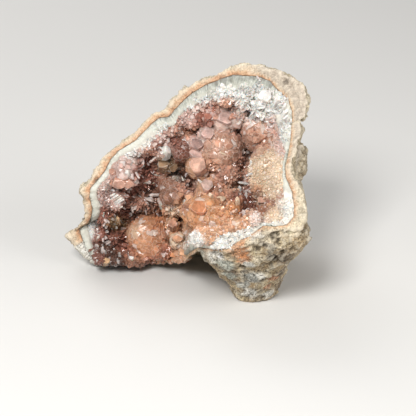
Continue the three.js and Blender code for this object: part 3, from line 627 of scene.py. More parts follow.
# Zones of crystals by habit: across, up, radius in mm, colour, width of a crystal in mm, and
# how many in a hundred are pale, partly frosted and partly painted glints. The small ones in the first list
# line the crevice at the right.
HABIT_ZONES = {
    FINE: [
        (33.5, 42.4, 6.5, "tan", 1.3, 6), (33.5, 34.3, 5.5, "tan", 1.3, 6),
        (38, 26.6, 3.6, "pearl", 1.2, 10), (35.1, 23.3, 2.9, "tan", 1.2, 10),
        (28.2, 24.5, 2.9, "umber", 1.4, 10), (27.7, 19.4, 2.2, "blush", 1.4, 30),
        (2, 13.1, 2.9, "milk", 1.4, 30), (2.2, 7.6, 2.4, "ice", 1.3, 40),
        (6.5, 16.7, 3.7, "peach", 1.5, 15), (27.6, 31.4, 1.5, "garnet", 1.1, 5),
        (29.6, 28.8, 1.6, "rust", 1.1, 5), (31.8, 27.9, 1.6, "rust", 1.1, 5),
        (34, 27.9, 1.5, "umber", 1.1, 5), (36, 28.9, 1.4, "umber", 1.1, 5),
        (37.7, 30.3, 1.3, "umber", 1.1, 5), (39.2, 31.9, 1.2, "dusk", 1.1, 5),
        (-35.1, 30.6, 3.3, "mauve", 1.5, 20), (-38.8, 4.5, 2.9, "plum", 1.4, 12),
        (-39.5, 19.5, 2, "milk", 1, 0), (-40.8, 15, 1.8, "milk", 1, 0), (38, 50, 4, "rose", 1.4, 20),
        (-30.2, 28.6, 3.3, "rose", 1.3, 15), (-36, 36, 3, "blush", 1.3, 30),
        (-25.5, 47.5, 3, "milk", 1.3, 30), (-20, 52.5, 3, "blush", 1.3, 30),
    ],
    BLOCKY: [
        (-29.4, 42.8, 6.5, "rose", 2.5, 12), (-26.5, 38.4, 2.9, "blush", 2.7, 30),
        (-17.1, 13.9, 7.8, "apricot", 2.8, 5), (-22, 15.1, 2.4, "tan", 3, 10),
        (-18, 8.2, 3.3, "apricot", 2.6, 10), (-12.2, 2.4, 3.7, "apricot", 2.2, 5),
        (-4.9, 5.7, 3.7, "peach", 2.2, 5), (0.4, 9.8, 2.4, "ice", 2, 20), (-7.3, 12.6, 3.3, "tan", 2.6, 10),
        (-11.4, 14.4, 2.2, "salmon", 2.2, 10), (-9.6, 30.6, 4.4, "umber", 2.8, 5),
        (-10.2, 35.9, 3.3, "umber", 2.4, 10), (-4.1, 48.6, 4.1, "plum", 2.6, 8),
        (7.3, 55.1, 2.9, "blush", 4, 10), (2.9, 51.8, 3.3, "rose", 3.2, 5),
        (13.1, 49.8, 6.5, "salmon", 3.2, 3), (29.4, 54.3, 5.5, "salmon", 2.8, 12),
        (18.8, 49, 3.3, "umber", 2.2, 4), (26.5, 49.2, 3, "umber", 2.4, 5),
        (22.6, 54.2, 2.6, "umber", 2.2, 5), (13.5, 55.2, 3, "umber", 3, 5),
        (3.3, 43.7, 4.5, "peach", 3.4, 5), (14.3, 61.2, 4.9, "blush", 3.4, 10),
        (19.6, 56.7, 3.7, "dusk", 2.2, 5), (4.9, 24.9, 4.9, "honey", 2.4, 5),
        (10.2, 22.8, 3.7, "honey", 2.6, 10), (0, 20.8, 2.9, "honey", 2.4, 5),
        (6.1, 34.3, 2.9, "peach", 3, 10),
    ],
    STUBBY: [
        (-29.8, 19.6, 3.7, "olive", 1.6, 30), (-30.6, 4.5, 3.3, "soot", 1.8, 15),
        (-24.9, 8.2, 3.7, "wine", 2.1, 10), (-20.4, 3.3, 3.7, "umber", 2.4, 5),
        (-13.1, 20, 2.9, "apricot", 2, 10), (-10.2, 7.8, 2.4, "rust", 2, 5),
        (-7.3, 18, 2.9, "peach", 2.2, 10), (-4.1, 26.5, 3.7, "peach", 2.2, 20),
        (-2, 32.6, 2.9, "dusk", 2, 10), (-6.1, 37.9, 1.6, "ice", 1.8, 20),
        (-10.2, 43.7, 3.3, "bronze", 2.2, 10), (-10.2, 49, 2.9, "blush", 2, 50),
        (-11, 54.3, 2.9, "rose", 1.8, 30), (-6.1, 57.5, 3.3, "dusk", 1.8, 25),
        (-1.6, 62, 3.3, "rose", 1.8, 25), (0.4, 56.7, 2.9, "salmon", 2.2, 5),
        (6.1, 62.4, 4.1, "rust", 2.6, 10), (9, 64.5, 2.4, "rust", 2.4, 10),
        (4.1, 67.3, 3.3, "blush", 2, 40), (12.2, 67.3, 2.6, "dusk", 2.2, 20),
        (15.5, 68.3, 2.7, "salmon", 2.2, 10), (15.5, 18, 3.3, "peach", 1.8, 25),
        (20.6, 17.5, 3, "peach", 1.6, 30), (9, 42, 3.3, "salmon", 2.2, 10),
        (14.3, 38.3, 3.9, "dusk", 2, 12), (20.8, 44.5, 2.9, "dusk", 1.8, 10),
        (25.2, 46.5, 2.4, "soot", 1.6, 10), (29.4, 29, 2.4, "tan", 2, 10),
        (21.6, 35.9, 3.3, "dusk", 1.8, 30), (27.7, 32.6, 2, "peach", 1.6, 10),
        (15.5, 32.6, 4.1, "salmon", 2, 15), (9.4, 32.6, 3.3, "salmon", 2.6, 15),
        (1.6, 33.9, 2.9, "dusk", 2.6, 10), (14.7, 26.5, 2.9, "peach", 2.2, 15),
        (18, 23.7, 2.6, "honey", 1.9, 10), (18, 29.6, 2.6, "wine", 1.8, 10),
        (-31, 23.8, 2.8, "plum", 1.6, 15), (-21.2, 20.8, 3.2, "soot", 1.8, 10),
        (-11.4, 4.9, 2.6, "wine", 1.8, 10), (-16.3, 48.6, 2.2, "dusk", 1.6, 15),
        (-16.3, 4.4, 2.6, "rust", 1.8, 10), (-6.8, 24.6, 2.4, "tan", 2.2, 10),
        (-1.6, 25, 1.8, "umber", 2, 10), (17.6, 34.3, 2.4, "tan", 2, 20),
    ],
    SLENDER: [
        (-19, 36.7, 5.3, "wine", 1.7, 12), (-24.5, 32.2, 4.5, "plum", 1.6, 10),
        (-16.3, 30.2, 4.9, "soot", 1.7, 8), (-20.8, 28, 5, "dusk", 1.8, 25),
        (-15.5, 42.6, 4, "wine", 1.6, 12), (-26.5, 24.1, 3.7, "plum", 1.7, 10),
        (-36.3, 22.4, 3.3, "wine", 1.1, 20), (-35.5, 14.7, 3.3, "wine", 1.1, 25),
        (-34.7, 8.6, 3.3, "soot", 1.5, 20), (-29.4, 12.6, 3.7, "plum", 1.7, 10),
        (-13.1, 50.6, 2.4, "wine", 1.4, 30), (-8.2, 52.6, 2.4, "wine", 1.6, 20),
        (-2.4, 37.5, 2, "soot", 1.7, 5), (24.5, 27, 3.5, "garnet", 1.5, 4),
        (22.9, 23.6, 3.3, "garnet", 1.5, 10), (-21.8, 39.6, 3, "plum", 1.6, 10),
        (23.3, 31.8, 2.4, "plum", 1.6, 20),
    ],
    FLAKY: [
        (12.5, 72.8, 3.3, "milk", 1.5, 20), (17.5, 72.3, 3, "milk", 1.6, 40),
        (6, 71.2, 2.6, "milk", 1.6, 50), (13.1, 76.2, 2.3, "ice", 1.1, 0), (16.5, 76, 2.3, "ice", 1.1, 0),
        (29.4, 71.4, 4.9, "milk", 2.4, 50), (22.9, 71, 2.9, "milk", 1.7, 50),
        (34.7, 66.1, 4.9, "milk", 2.3, 50), (39.2, 59.2, 3.3, "milk", 1.6, 40),
        (25.9, 64.5, 3.7, "milk", 1.9, 40), (21.6, 62.6, 3.3, "blush", 1.7, 40),
        (34.7, 59.2, 3.3, "rose", 1.6, 30), (40, 52.2, 2.4, "milk", 1.4, 30),
        (19.6, 66.9, 2.9, "blush", 1.6, 40),
    ],
}


def depth_mm(places):
    """How far along the line of sight each place lies."""
    return (places - np.array(EYE)) @ np.array(SIGHT) / MM


def write_zones(mesh, open_side):
    """Writes, at each point, which crystals grow there, their tint with painted shade in hollows, and where
    the surface is free for them.
    """
    places = places_of(mesh)
    across, up = as_seen(places)
    depth = depth_mm(places)
    wobble = 1.0 * ripple(places, 4, 3)
    total = np.full(len(places), 0.0003)  # outside all zones: fine dusk crystals 1.8 mm wide
    colours = total[:, None] * np.array(linear(QUARTZ["dusk"])[:3])
    amounts = total[:, None] * np.array([1.8, 0.1])
    kinds = np.zeros((5, len(places)))
    for kind, zones in HABIT_ZONES.items():
        for x, y, radius, colour, width, pale in zones:
            spot = spot_on(CRUST_TREE, x, y)
            behind = DEPTH_SHARE * (depth - depth_mm(np.array(spot[0]))) if spot else 0
            gap = np.sqrt((across - x) ** 2 + (up - y) ** 2 + behind ** 2) + wobble
            share = 1 / (1 + np.clip(gap / (0.8 * radius), 0, None) ** 6)
            total += share
            colours += share[:, None] * np.array(linear(QUARTZ[colour])[:3])
            amounts += share[:, None] * np.array([width, pale / 100])
            kinds[kind] += share
    # Painted shade: the tint darkens in the crust's hollows. It is also darker towards the bottom edge.
    deep = smooth_step(0.15, 1.2, hollows_mm(mesh, 30))
    shaded = (1 - 0.25 * deep) * (1 - 0.35 * smooth_step(5, 1, up))
    write_colours(mesh, "tint", colours / total[:, None] * shaded[:, None])
    write_values(mesh, grain=amounts[:, 0] / total, pale_share=amounts[:, 1] / total,
                 kind=np.argmax(kinds, axis=0), open_side=open_side)


def is_open(places, normals, covers, reach_mm):
    """1 where nothing of the covers stands over a point within reach, 0 elsewhere."""
    free = np.ones(len(places))
    for i, (place, normal) in enumerate(zip(places, normals)):
        way = Vector(normal)
        start = Vector(place) + way * 0.05 * MM
        if any(cover.ray_cast(start, way, reach_mm * MM)[0] for cover in covers):
            free[i] = 0
    return free


def crust_mesh():
    """The CAD crust, gently uneven, grown to the band and clear of the table at its lower left."""
    mesh = dense_mesh("amethyst_crust", CRUST_SKIN_MM)
    move_to(mesh, softened(mesh, 5))
    places = places_of(mesh)
    free = is_open(places, normals_of(mesh), [BAND_TREE, ROCK_TREE], COVER_MM)
    shift = free * (0.25 * ripple(places, 2.2, 1) + 0.12 * ripple(places, 1.0, 2))
    shift *= smooth_step(0.6, 1.5, distance_mm(BAND_TREE, places))
    move_to(mesh, places + normals_of(mesh) * (shift * MM)[:, None])
    reach_over(mesh, BAND_TREE, BAND_SEAM_MM, 0.8)
    lifted = places_of(mesh)
    across, up = as_seen(lifted)
    low = np.maximum(0, LOWEST_UP - up) * smooth_step(-6, -12, across) * MM
    move_to(mesh, lifted + low[:, None] * np.array(RISE))
    write_zones(mesh, free)
    mesh.shade_smooth()
    return mesh


def crystal_form(seed, height, thickness, slope=PRISM_SLOPE, edge=0.0):
    """One quartz crystal 1 wide: its points, its faces, and which faces are worn edges.

    It is a six-sided prism under six planes that slant by slope degrees. With slope 0 it is a
    block with one flat top and two cut corners. The edge is the width of its worn edges."""
    rng = np.random.default_rng(seed)
    shape = bmesh.new()
    turn = rng.uniform(0, 1)
    corners = []
    uneven = 0.35 if slope else 0.3
    for i in range(6):
        angle = (i + uneven * rng.uniform(-1, 1)) * math.pi / 3 + turn
        reach = 0.5 * rng.uniform(0.95 - 0.55 * uneven, 0.95 + 0.55 * uneven)
        corners.append((reach * math.cos(angle), reach * math.sin(angle)))
    low = [shape.verts.new((x, y, -0.6)) for x, y in corners]
    high = [shape.verts.new((x, y, 6)) for x, y in corners]
    shape.faces.new(low[::-1])
    shape.faces.new(high)
    for i in range(6):
        j = (i + 1) % 6
        shape.faces.new((low[i], low[j], high[j], high[i]))
    steep = math.radians(slope)
    tops = [(i, steep, 0.0 if i % 2 else rng.uniform(0.03, 0.22) * math.sin(steep)) for i in range(6)]
    if slope == 0:
        tops = [(0, math.radians(5), 0.0), (2, math.radians(38), -0.26), (4.3, math.radians(42), -0.24)]
    for i, steep, setback in tops:
        angle = (i + 0.5) * math.pi / 3 + turn
        slant = Vector((math.cos(angle) * math.sin(steep), math.sin(angle) * math.sin(steep),
                        math.cos(steep)))
        cut = bmesh.ops.bisect_plane(shape, geom=shape.verts[:] + shape.edges[:] + shape.faces[:],
                                     plane_co=Vector((0, 0, height)) - slant * setback,
                                     plane_no=slant, clear_outer=True)
        rim = [e for e in cut["geom_cut"] if isinstance(e, bmesh.types.BMEdge)]
        bmesh.ops.contextual_create(shape, geom=rim)
    bmesh.ops.remove_doubles(shape, verts=shape.verts, dist=0.004)
    bmesh.ops.recalc_face_normals(shape, faces=shape.faces)
    floor = [f for f in shape.faces if f.normal.z < -0.9]
    bmesh.ops.delete(shape, geom=floor, context="FACES_ONLY")
    worn = set()
    if edge:
        sharp = [e for e in shape.edges if len(e.link_faces) == 2]
        made = bmesh.ops.bevel(shape, geom=sharp, offset=edge, segments=1, affect="EDGES",
                               clamp_overlap=True)
        worn = set(made["faces"])
    shape.verts.index_update()
    points = np.array([(v.co.x, v.co.y * thickness, v.co.z) for v in shape.verts])
    faces = [[v.index for v in f.verts] for f in shape.faces]
    edges = [float(f in worn) for f in shape.faces]
    shape.free()
    return points, faces, edges


def tip_share(points):
    """How near each point of a crystal form is to its tip: 0 at the root, 1 at the tip."""
    return np.clip(points[:, 2] / points[:, 2].max(), 0, 1)


def crystal_mesh(name, forms):
    """Joins crystal forms into one mesh that also knows its tips and its worn edges."""
    faces = []
    first = 0
    for points, form_faces, _ in forms:
        faces += [[first + i for i in face] for face in form_faces]
        first += len(points)
    mesh = bpy.data.meshes.new(name)
    mesh.from_pydata(np.concatenate([form[0] for form in forms]).tolist(), [], faces)
    write_attribute(mesh, "edge", np.concatenate([form[2] for form in forms]), domain="FACE")
    return mesh


def habit_shelf(name, first_seed, height, thickness, slope=PRISM_SLOPE, edge=0.0):
    """A collection of seven loose crystals of one habit for the druse to choose from."""
    shelf = bpy.data.collections.new(name)
    for seed in range(first_seed, first_seed + 7):
        form = crystal_form(seed, height * (0.85 + 0.05 * (seed % 7)), thickness, slope, edge)
        mesh = crystal_mesh(f"{name} {seed}", [form])
        write_values(mesh, tip=tip_share(form[0]))
        shelf.objects.link(bpy.data.objects.new(f"{name} {seed}", mesh))
    return shelf


def druse_tree():
    """Geometry Nodes: crystals set point-out on their carrier, which tells their kind and width."""
    tree = bpy.data.node_groups.new("druse", "GeometryNodeTree")
    for name, sort in (("Geometry", "Geometry"), ("Kind", "Float"), ("Spacing", "Float"),
                       ("Width", "Float"), ("Sink", "Float"), ("Lean", "Float"), ("Seed", "Int"),
                       ("Habits", "Collection"), ("Material", "Material")):
        tree.interface.new_socket(name, in_out="INPUT", socket_type="NodeSocket" + sort)
    tree.interface.new_socket("Geometry", in_out="OUTPUT", socket_type="NodeSocketGeometry")
    add = partial(add_node, tree)
    given = add("NodeGroupInput").node.outputs
    kind, grain, open_side = [add("GeometryNodeInputNamedAttribute", {"Name": value}, data_type="FLOAT")
                              for value in ("kind", "grain", "open_side")]

    # Where: on the free ground of this kind's zones, no two nearer than the spacing.
    wanted = add("FunctionNodeCompare", {"A": kind, "B": given["Kind"], "Epsilon": 0.1}, operation="EQUAL")
    uncovered = add("FunctionNodeCompare", {"A": open_side, "B": 0.5}, operation="GREATER_THAN")
    chosen = add("FunctionNodeBooleanMath", {0: wanted, 1: uncovered})
    points = add("GeometryNodeDistributePointsOnFaces", {"Mesh": given["Geometry"], "Selection": chosen,
                 "Distance Min": given["Spacing"], "Density Max": 3.0e6, "Seed": given["Seed"]},
                 distribute_method="POISSON")
    outwards = points.node.outputs["Normal"]

    # How large: the carrier's width for its crystals, and a little more or less for each.
    spread = add(RANDOM, {"Min": 0.7, "Max": 1.35, "Seed": given["Seed"]}, out=1)
    sized = add(MATH, {0: grain, 1: given["Width"]}, operation="MULTIPLY")
    scale = add(MATH, {0: sized, 1: spread}, operation="MULTIPLY")

    # Which way: outwards with a lean of its own, then spun about its length.
    lean = add(RANDOM, {"Min": (-1, -1, -1), "Max": (1, 1, 1), "Seed": given["Seed"]},
               data_type="FLOAT_VECTOR")
    leaned = add(VECTORS, {0: lean, "Scale": given["Lean"]}, operation="SCALE")
    way = add(VECTORS, {0: outwards, 1: leaned})
    stand = add("FunctionNodeAlignRotationToVector", {"Vector": way}, axis="Z")
    angle = add(RANDOM, {"Min": 0.0, "Max": 6.28, "Seed": given["Seed"]}, out=1)
    spin = add("FunctionNodeAxisAngleToRotation", {"Axis": (0, 0, 1), "Angle": angle})
    turned = add("FunctionNodeRotateRotation", {0: stand, 1: spin}, rotation_space="LOCAL")

    # How deep: its root sinks into the carrier by a share of its width.
    sunk = add(MATH, {0: scale, 1: given["Sink"]}, operation="MULTIPLY")
    down = add(MATH, {0: sunk, 1: -1.0}, operation="MULTIPLY")
    offset = add(VECTORS, {0: outwards, "Scale": down}, operation="SCALE")
    rooted = add("GeometryNodeSetPosition", {"Geometry": points, "Offset": offset})
    shelf = add("GeometryNodeCollectionInfo", {"Collection": given["Habits"], "Separate Children": True,
                "Reset Children": True}, transform_space="ORIGINAL")
    placed = add("GeometryNodeInstanceOnPoints", {"Points": rooted, "Instance": shelf,
                 "Pick Instance": True, "Rotation": turned, "Scale": scale})
    shade = add(RANDOM, {"Min": 0.0, "Max": 1.0, "Seed": 5}, out=1)
    shaded = add("GeometryNodeStoreNamedAttribute", {"Geometry": placed, "Value": shade, "Name": "shade"},
                 data_type="FLOAT", domain="INSTANCE")
    real = add("GeometryNodeRealizeInstances", {"Geometry": shaded})
    dressed = add("GeometryNodeSetMaterial", {"Geometry": real, "Material": given["Material"]})
    add("NodeGroupOutput", {"Geometry": dressed})
    return tree


def dress_crystals(mesh, seed):
    """Gives each face its own shade of light, and keeps the crystals off the table."""
    lights = np.random.default_rng(seed).random(len(mesh.polygons))
    write_attribute(mesh, "facet", lights, domain="FACE")
    places = places_of(mesh)
    places[:, 2] = np.maximum(places[:, 2], CLEAR_OF_TABLE)
    move_to(mesh, places)
    mesh.shade_flat()


def grow_crystals(carrier, name, material, kind, shelf, spacing_mm, width, sink, lean, seed):
    """Runs the druse on a carrier and keeps its result as a plain mesh."""
    host = bpy.data.objects.new(name, carrier.copy())
    bpy.context.collection.objects.link(host)
    modifier = host.modifiers.new("druse", "NODES")
    modifier.node_group = DRUSE
    sockets = {item.name: item.identifier for item in DRUSE.interface.items_tree if item.in_out == "INPUT"}
    for key, value in dict(Kind=kind, Spacing=spacing_mm * MM, Width=width * MM, Sink=sink, Lean=lean,
                           Seed=seed, Habits=shelf, Material=material).items():
        modifier[sockets[key]] = value
    graph = bpy.context.evaluated_depsgraph_get()
    mesh = bpy.data.meshes.new_from_object(host.evaluated_get(graph))
    bpy.data.objects.remove(host)
    dress_crystals(mesh, 7)
    finished(name, mesh, material)


def quartz_material(name, cloud, clear, rough, root_shade_tip_light, light=1.0, frost_and_glint=0.45, variety=0.17, veils=0.32):
    """Tinted quartz: glassy faces over a cloudy inside, with painted shade at the roots and painted light at
    the tips, and some crystals pale.
    """
    material, shader, add = new_material(name)
    place = add("ShaderNodeTexCoord", out="Object")
    tint = add(READ, attribute_name="tint", out="Color")
    shade, tip, facet, edge, pale_share = [add(READ, attribute_name=value, out="Fac") for value in (
        "shade", "tip", "facet", "edge", "pale_share")]

    # How bright: by crystal, by painted shade at the root and painted light at the tip, by a painted light
    # for each face, and by the veils and haze inside.
    strength = add(RANGE, {"Value": shade, "To Min": light * (1 - 0.8 * variety),
                   "To Max": light * (1 + variety)})
    # Painted shade at the root and painted light at the tip.
    tipped = add(RANGE, {"Value": tip, "To Min": 1 - root_shade_tip_light, "To Max": 1 + root_shade_tip_light})
    faced = add(RANGE, {"Value": facet, "To Min": 1 - variety, "To Max": 1 + variety})
    veil = add(NOISE, {"Vector": place, "Scale": 0.9 / MM, "Detail": 4.0, "Roughness": 0.75})
    haze = add(NOISE, {"Vector": place, "Scale": 0.26 / MM, "Detail": 1.0})
    hazed = add(MATH, {0: veil, 1: haze})
    veiled = add(RANGE, {"Value": hazed, "From Min": 0.7, "From Max": 1.3, "To Min": 1 - veils,
                 "To Max": 1 + veils})
    for factor in (tipped, faced, veiled):
        strength = add(MATH, {0: strength, 1: factor}, operation="MULTIPLY")
    varied = add(VECTORS, {0: tint, "Scale": strength}, operation="SCALE")

    # Some crystals are whitened, partly as frosted crystals and partly as painted glints, and worn edges get
    # a painted highlight.
    rest = add(MATH, {0: 1.0, 1: pale_share}, operation="SUBTRACT")
    is_pale = add(MATH, {0: shade, 1: rest}, operation="GREATER_THAN")
    paled = add(MIX, {SHARE: frost_and_glint, UNDER: varied, OVER: linear("F2EAE4")}, **OF_COLOURS)
    mixed = add(MIX, {SHARE: is_pale, UNDER: varied, OVER: paled}, **OF_COLOURS)
    # Painted highlight: the worn edges are lightened.
    lit_edge = add(MATH, {0: edge, 1: 0.28}, operation="MULTIPLY")
    edged = add(MIX, {SHARE: lit_edge, UNDER: mixed, OVER: linear("F4E8DE")}, **OF_COLOURS)
    bump = add(BUMP, {"Height": veil, "Strength": 0.35, "Distance": 0.3 * MM})
    fill(shader, {"Base Color": edged, "Normal": bump, "Roughness": rough, "IOR": QUARTZ_IOR,
                  "Transmission Weight": clear, "Subsurface Weight": cloud, "Subsurface Scale": 1.0,
                  "Subsurface Radius": (1.4 * MM, 0.8 * MM, 0.6 * MM)})
    return material


def root_material():
    """The cloudy foot of the crystals, seen in the gaps between them."""
    material, shader, add = new_material("cloudy quartz root")
    tint = add(READ, attribute_name="tint", out="Color")
    # Painted shade: the tint a little darker in the gaps between the crystals.
    deep = add(VECTORS, {0: tint, "Scale": 0.95}, operation="SCALE")
    fill(shader, {"Base Color": deep, "Roughness": 0.35, "IOR": QUARTZ_IOR, "Subsurface Weight": 0.5,
                  "Subsurface Scale": 1.0, "Subsurface Radius": (2.2 * MM, 1.0 * MM, 0.7 * MM)})
    return material


crust = crust_mesh()
DRUSE = druse_tree()
# Well-grown points: glassy, a little see-through, with strong veils that break up their tint.
amethyst = quartz_material("pink amethyst", 0.25, 0.2, 0.12, 0.3, veils=0.45)
# Sugar-like skin of tiny points: dull as a whole, with hardly a difference between crystals.
drusy = quartz_material("drusy quartz", 0.3, 0.1, 0.2, 0.2, light=0.97, variety=0.08)
# Low blocks grown into balls: cloudier and darker than the points.
massive = quartz_material("massive amethyst", 0.3, 0.15, 0.2, 0.15, light=0.87, variety=0.12, veils=0.2)
# Thin brown blades: the glassiest, with pale ones among them, partly frosted and partly painted glints.
smoky = quartz_material("smoky amethyst", 0.15, 0.15, 0.1, 0.3, light=1.0, frost_and_glint=0.6)
# White flakes: nearly opaque, and soft in the light.
milky = quartz_material("frosted quartz", 0.45, 0.05, 0.25, 0.1, light=0.97, variety=0.12)
low = habit_shelf("low crystal", 30, 0.45, 1.0, 20, 0.03)
stubby = habit_shelf("stubby crystal", 40, 0.85, 1.0)
slender = habit_shelf("slender crystal", 50, 2.0, 0.5)
flaky = habit_shelf("flaky crystal", 60, 1.1, 0.3)
# What grows on the crust: its name, material, kind and shelf, its spacing in mm, its width as a
# share of its zone's, how deep it sinks as a share of its width, its lean, and its seed.
CRUST_DRUSES = [
    ("drusy_skin", drusy, FINE, stubby, 0.6, 0.85, 0.15, 0.25, 2),
    ("blocky_balls", massive, BLOCKY, low, 1.7, 1.3, 0.15, 0.25, 3),
    ("stubby_points", amethyst, STUBBY, stubby, 1.15, 1.0, 0.15, 0.35, 4),
    ("smoky_blades", smoky, SLENDER, slender, 0.95, 0.85, 0.3, 0.8, 5),
    ("frost_flakes", milky, FLAKY, flaky, 0.8, 1.2, 0.1, 0.7, 6),
]
finished("crust_root", crust, root_material(), "amethyst_crust")
for row in CRUST_DRUSES:
    grow_crystals(crust, *row)


# ---- Frost and spilled druse on the edge ------------------------------------------
# White quartz flakes that frost the inner half of the band, and pink druse that runs over
# the lower edge, on the band and the rock. Both grew where they stand.

# Across, up and radius in mm of what is frosted, of where the frost comes nearer to the
# rock, and of where the druse spills over.
FROSTED = [
    (30, 72, 13), (42, 56, 9), (45, 40, 8), (44, 24, 8), (34, 16, 7), (25, 14, 7), (14, 10, 7), (5, 8, 5),
    (-5, 66, 8), (8, 72, 8), (-38, 5, 7), (-20, 54, 7), (-13, 60, 6), (-28, 46, 6), (-34, 36, 6),
]
LIP = [(44, 27, 7), (41, 19, 7), (32, 17, 7), (24, 14, 8), (15, 10, 8), (38, 66, 9), (43, 57, 8), (44, 48, 7)]
SPILL = [(-30, 1, 6), (-22, 0, 6), (-13, 1, 6), (-5, 3, 5)]


def facing_mouth(mesh):
    """1 where the surface faces out of the hollow's mouth, falling to 0 where it turns away."""
    return smooth_step(0.1, 0.4, -normals_of(mesh) @ np.array(MOUTH))


band_places = places_of(band)
from_rock = distance_mm(ROCK_TREE, band_places) + 1.5 * ripple(band_places, 3, 5)
from_rock += 2.5 * spots_mask(band_places, LIP)
frost_ground = facing_mouth(band) * spots_mask(band_places, FROSTED) * smooth_step(2.4, 3.4, from_rock)
write_zones(band, frost_ground)
frosted = band.copy()
write_values(frosted, kind=np.full(len(band_places), FLAKY))
write_colours(frosted, "tint", np.tile(linear(QUARTZ["milk"]), (len(band_places), 1)))
grow_crystals(frosted, "band_frost", milky, FLAKY, flaky, 0.55, 0.8, 0.15, 1.1, 7)

rim_places = places_of(rind)
near_band = smooth_step(9, 7, distance_mm(BAND_TREE, rim_places))
write_zones(rind, facing_mouth(rind) * spots_mask(rim_places, SPILL) * near_band)
write_zones(band, facing_mouth(band) * spots_mask(band_places, SPILL))
for name, carrier in (("rim_druse", rind), ("band_druse", band)):
    grow_crystals(carrier, name + "_balls", massive, BLOCKY, low, 1.5, 1.2, 0.3, 0.15, 8)
    grow_crystals(carrier, name + "_points", amethyst, STUBBY, stubby, 1.0, 0.8, 0.4, 0.3, 9)
for shelf in (low, stubby, slender, flaky):
    for habit in list(shelf.objects):
        bpy.data.objects.remove(habit)
    bpy.data.collections.remove(shelf)


# ---- Single large crystals --------------------------------------------------------
# The crystals that stand out one by one: stacked plates, balls with flat faces, clear
# points and pale blades. Each is rooted in the crust or the band and leans its own way.

# Blunt blocks and sharp points: lean outwards, slope, worn edge, root's depth and shade.
BLUNT = (0.2, 0, 0.06, 0.5, 0.1)
SHARP = (0.05, PRISM_SLOPE, 0.035, 0.12, 0.4)
BLUNT_TOWARD = 0.75  # from this turn towards the eye on, a crystal is a blunt block
SINGLE_THICKNESS = 0.85  # of a single crystal's width
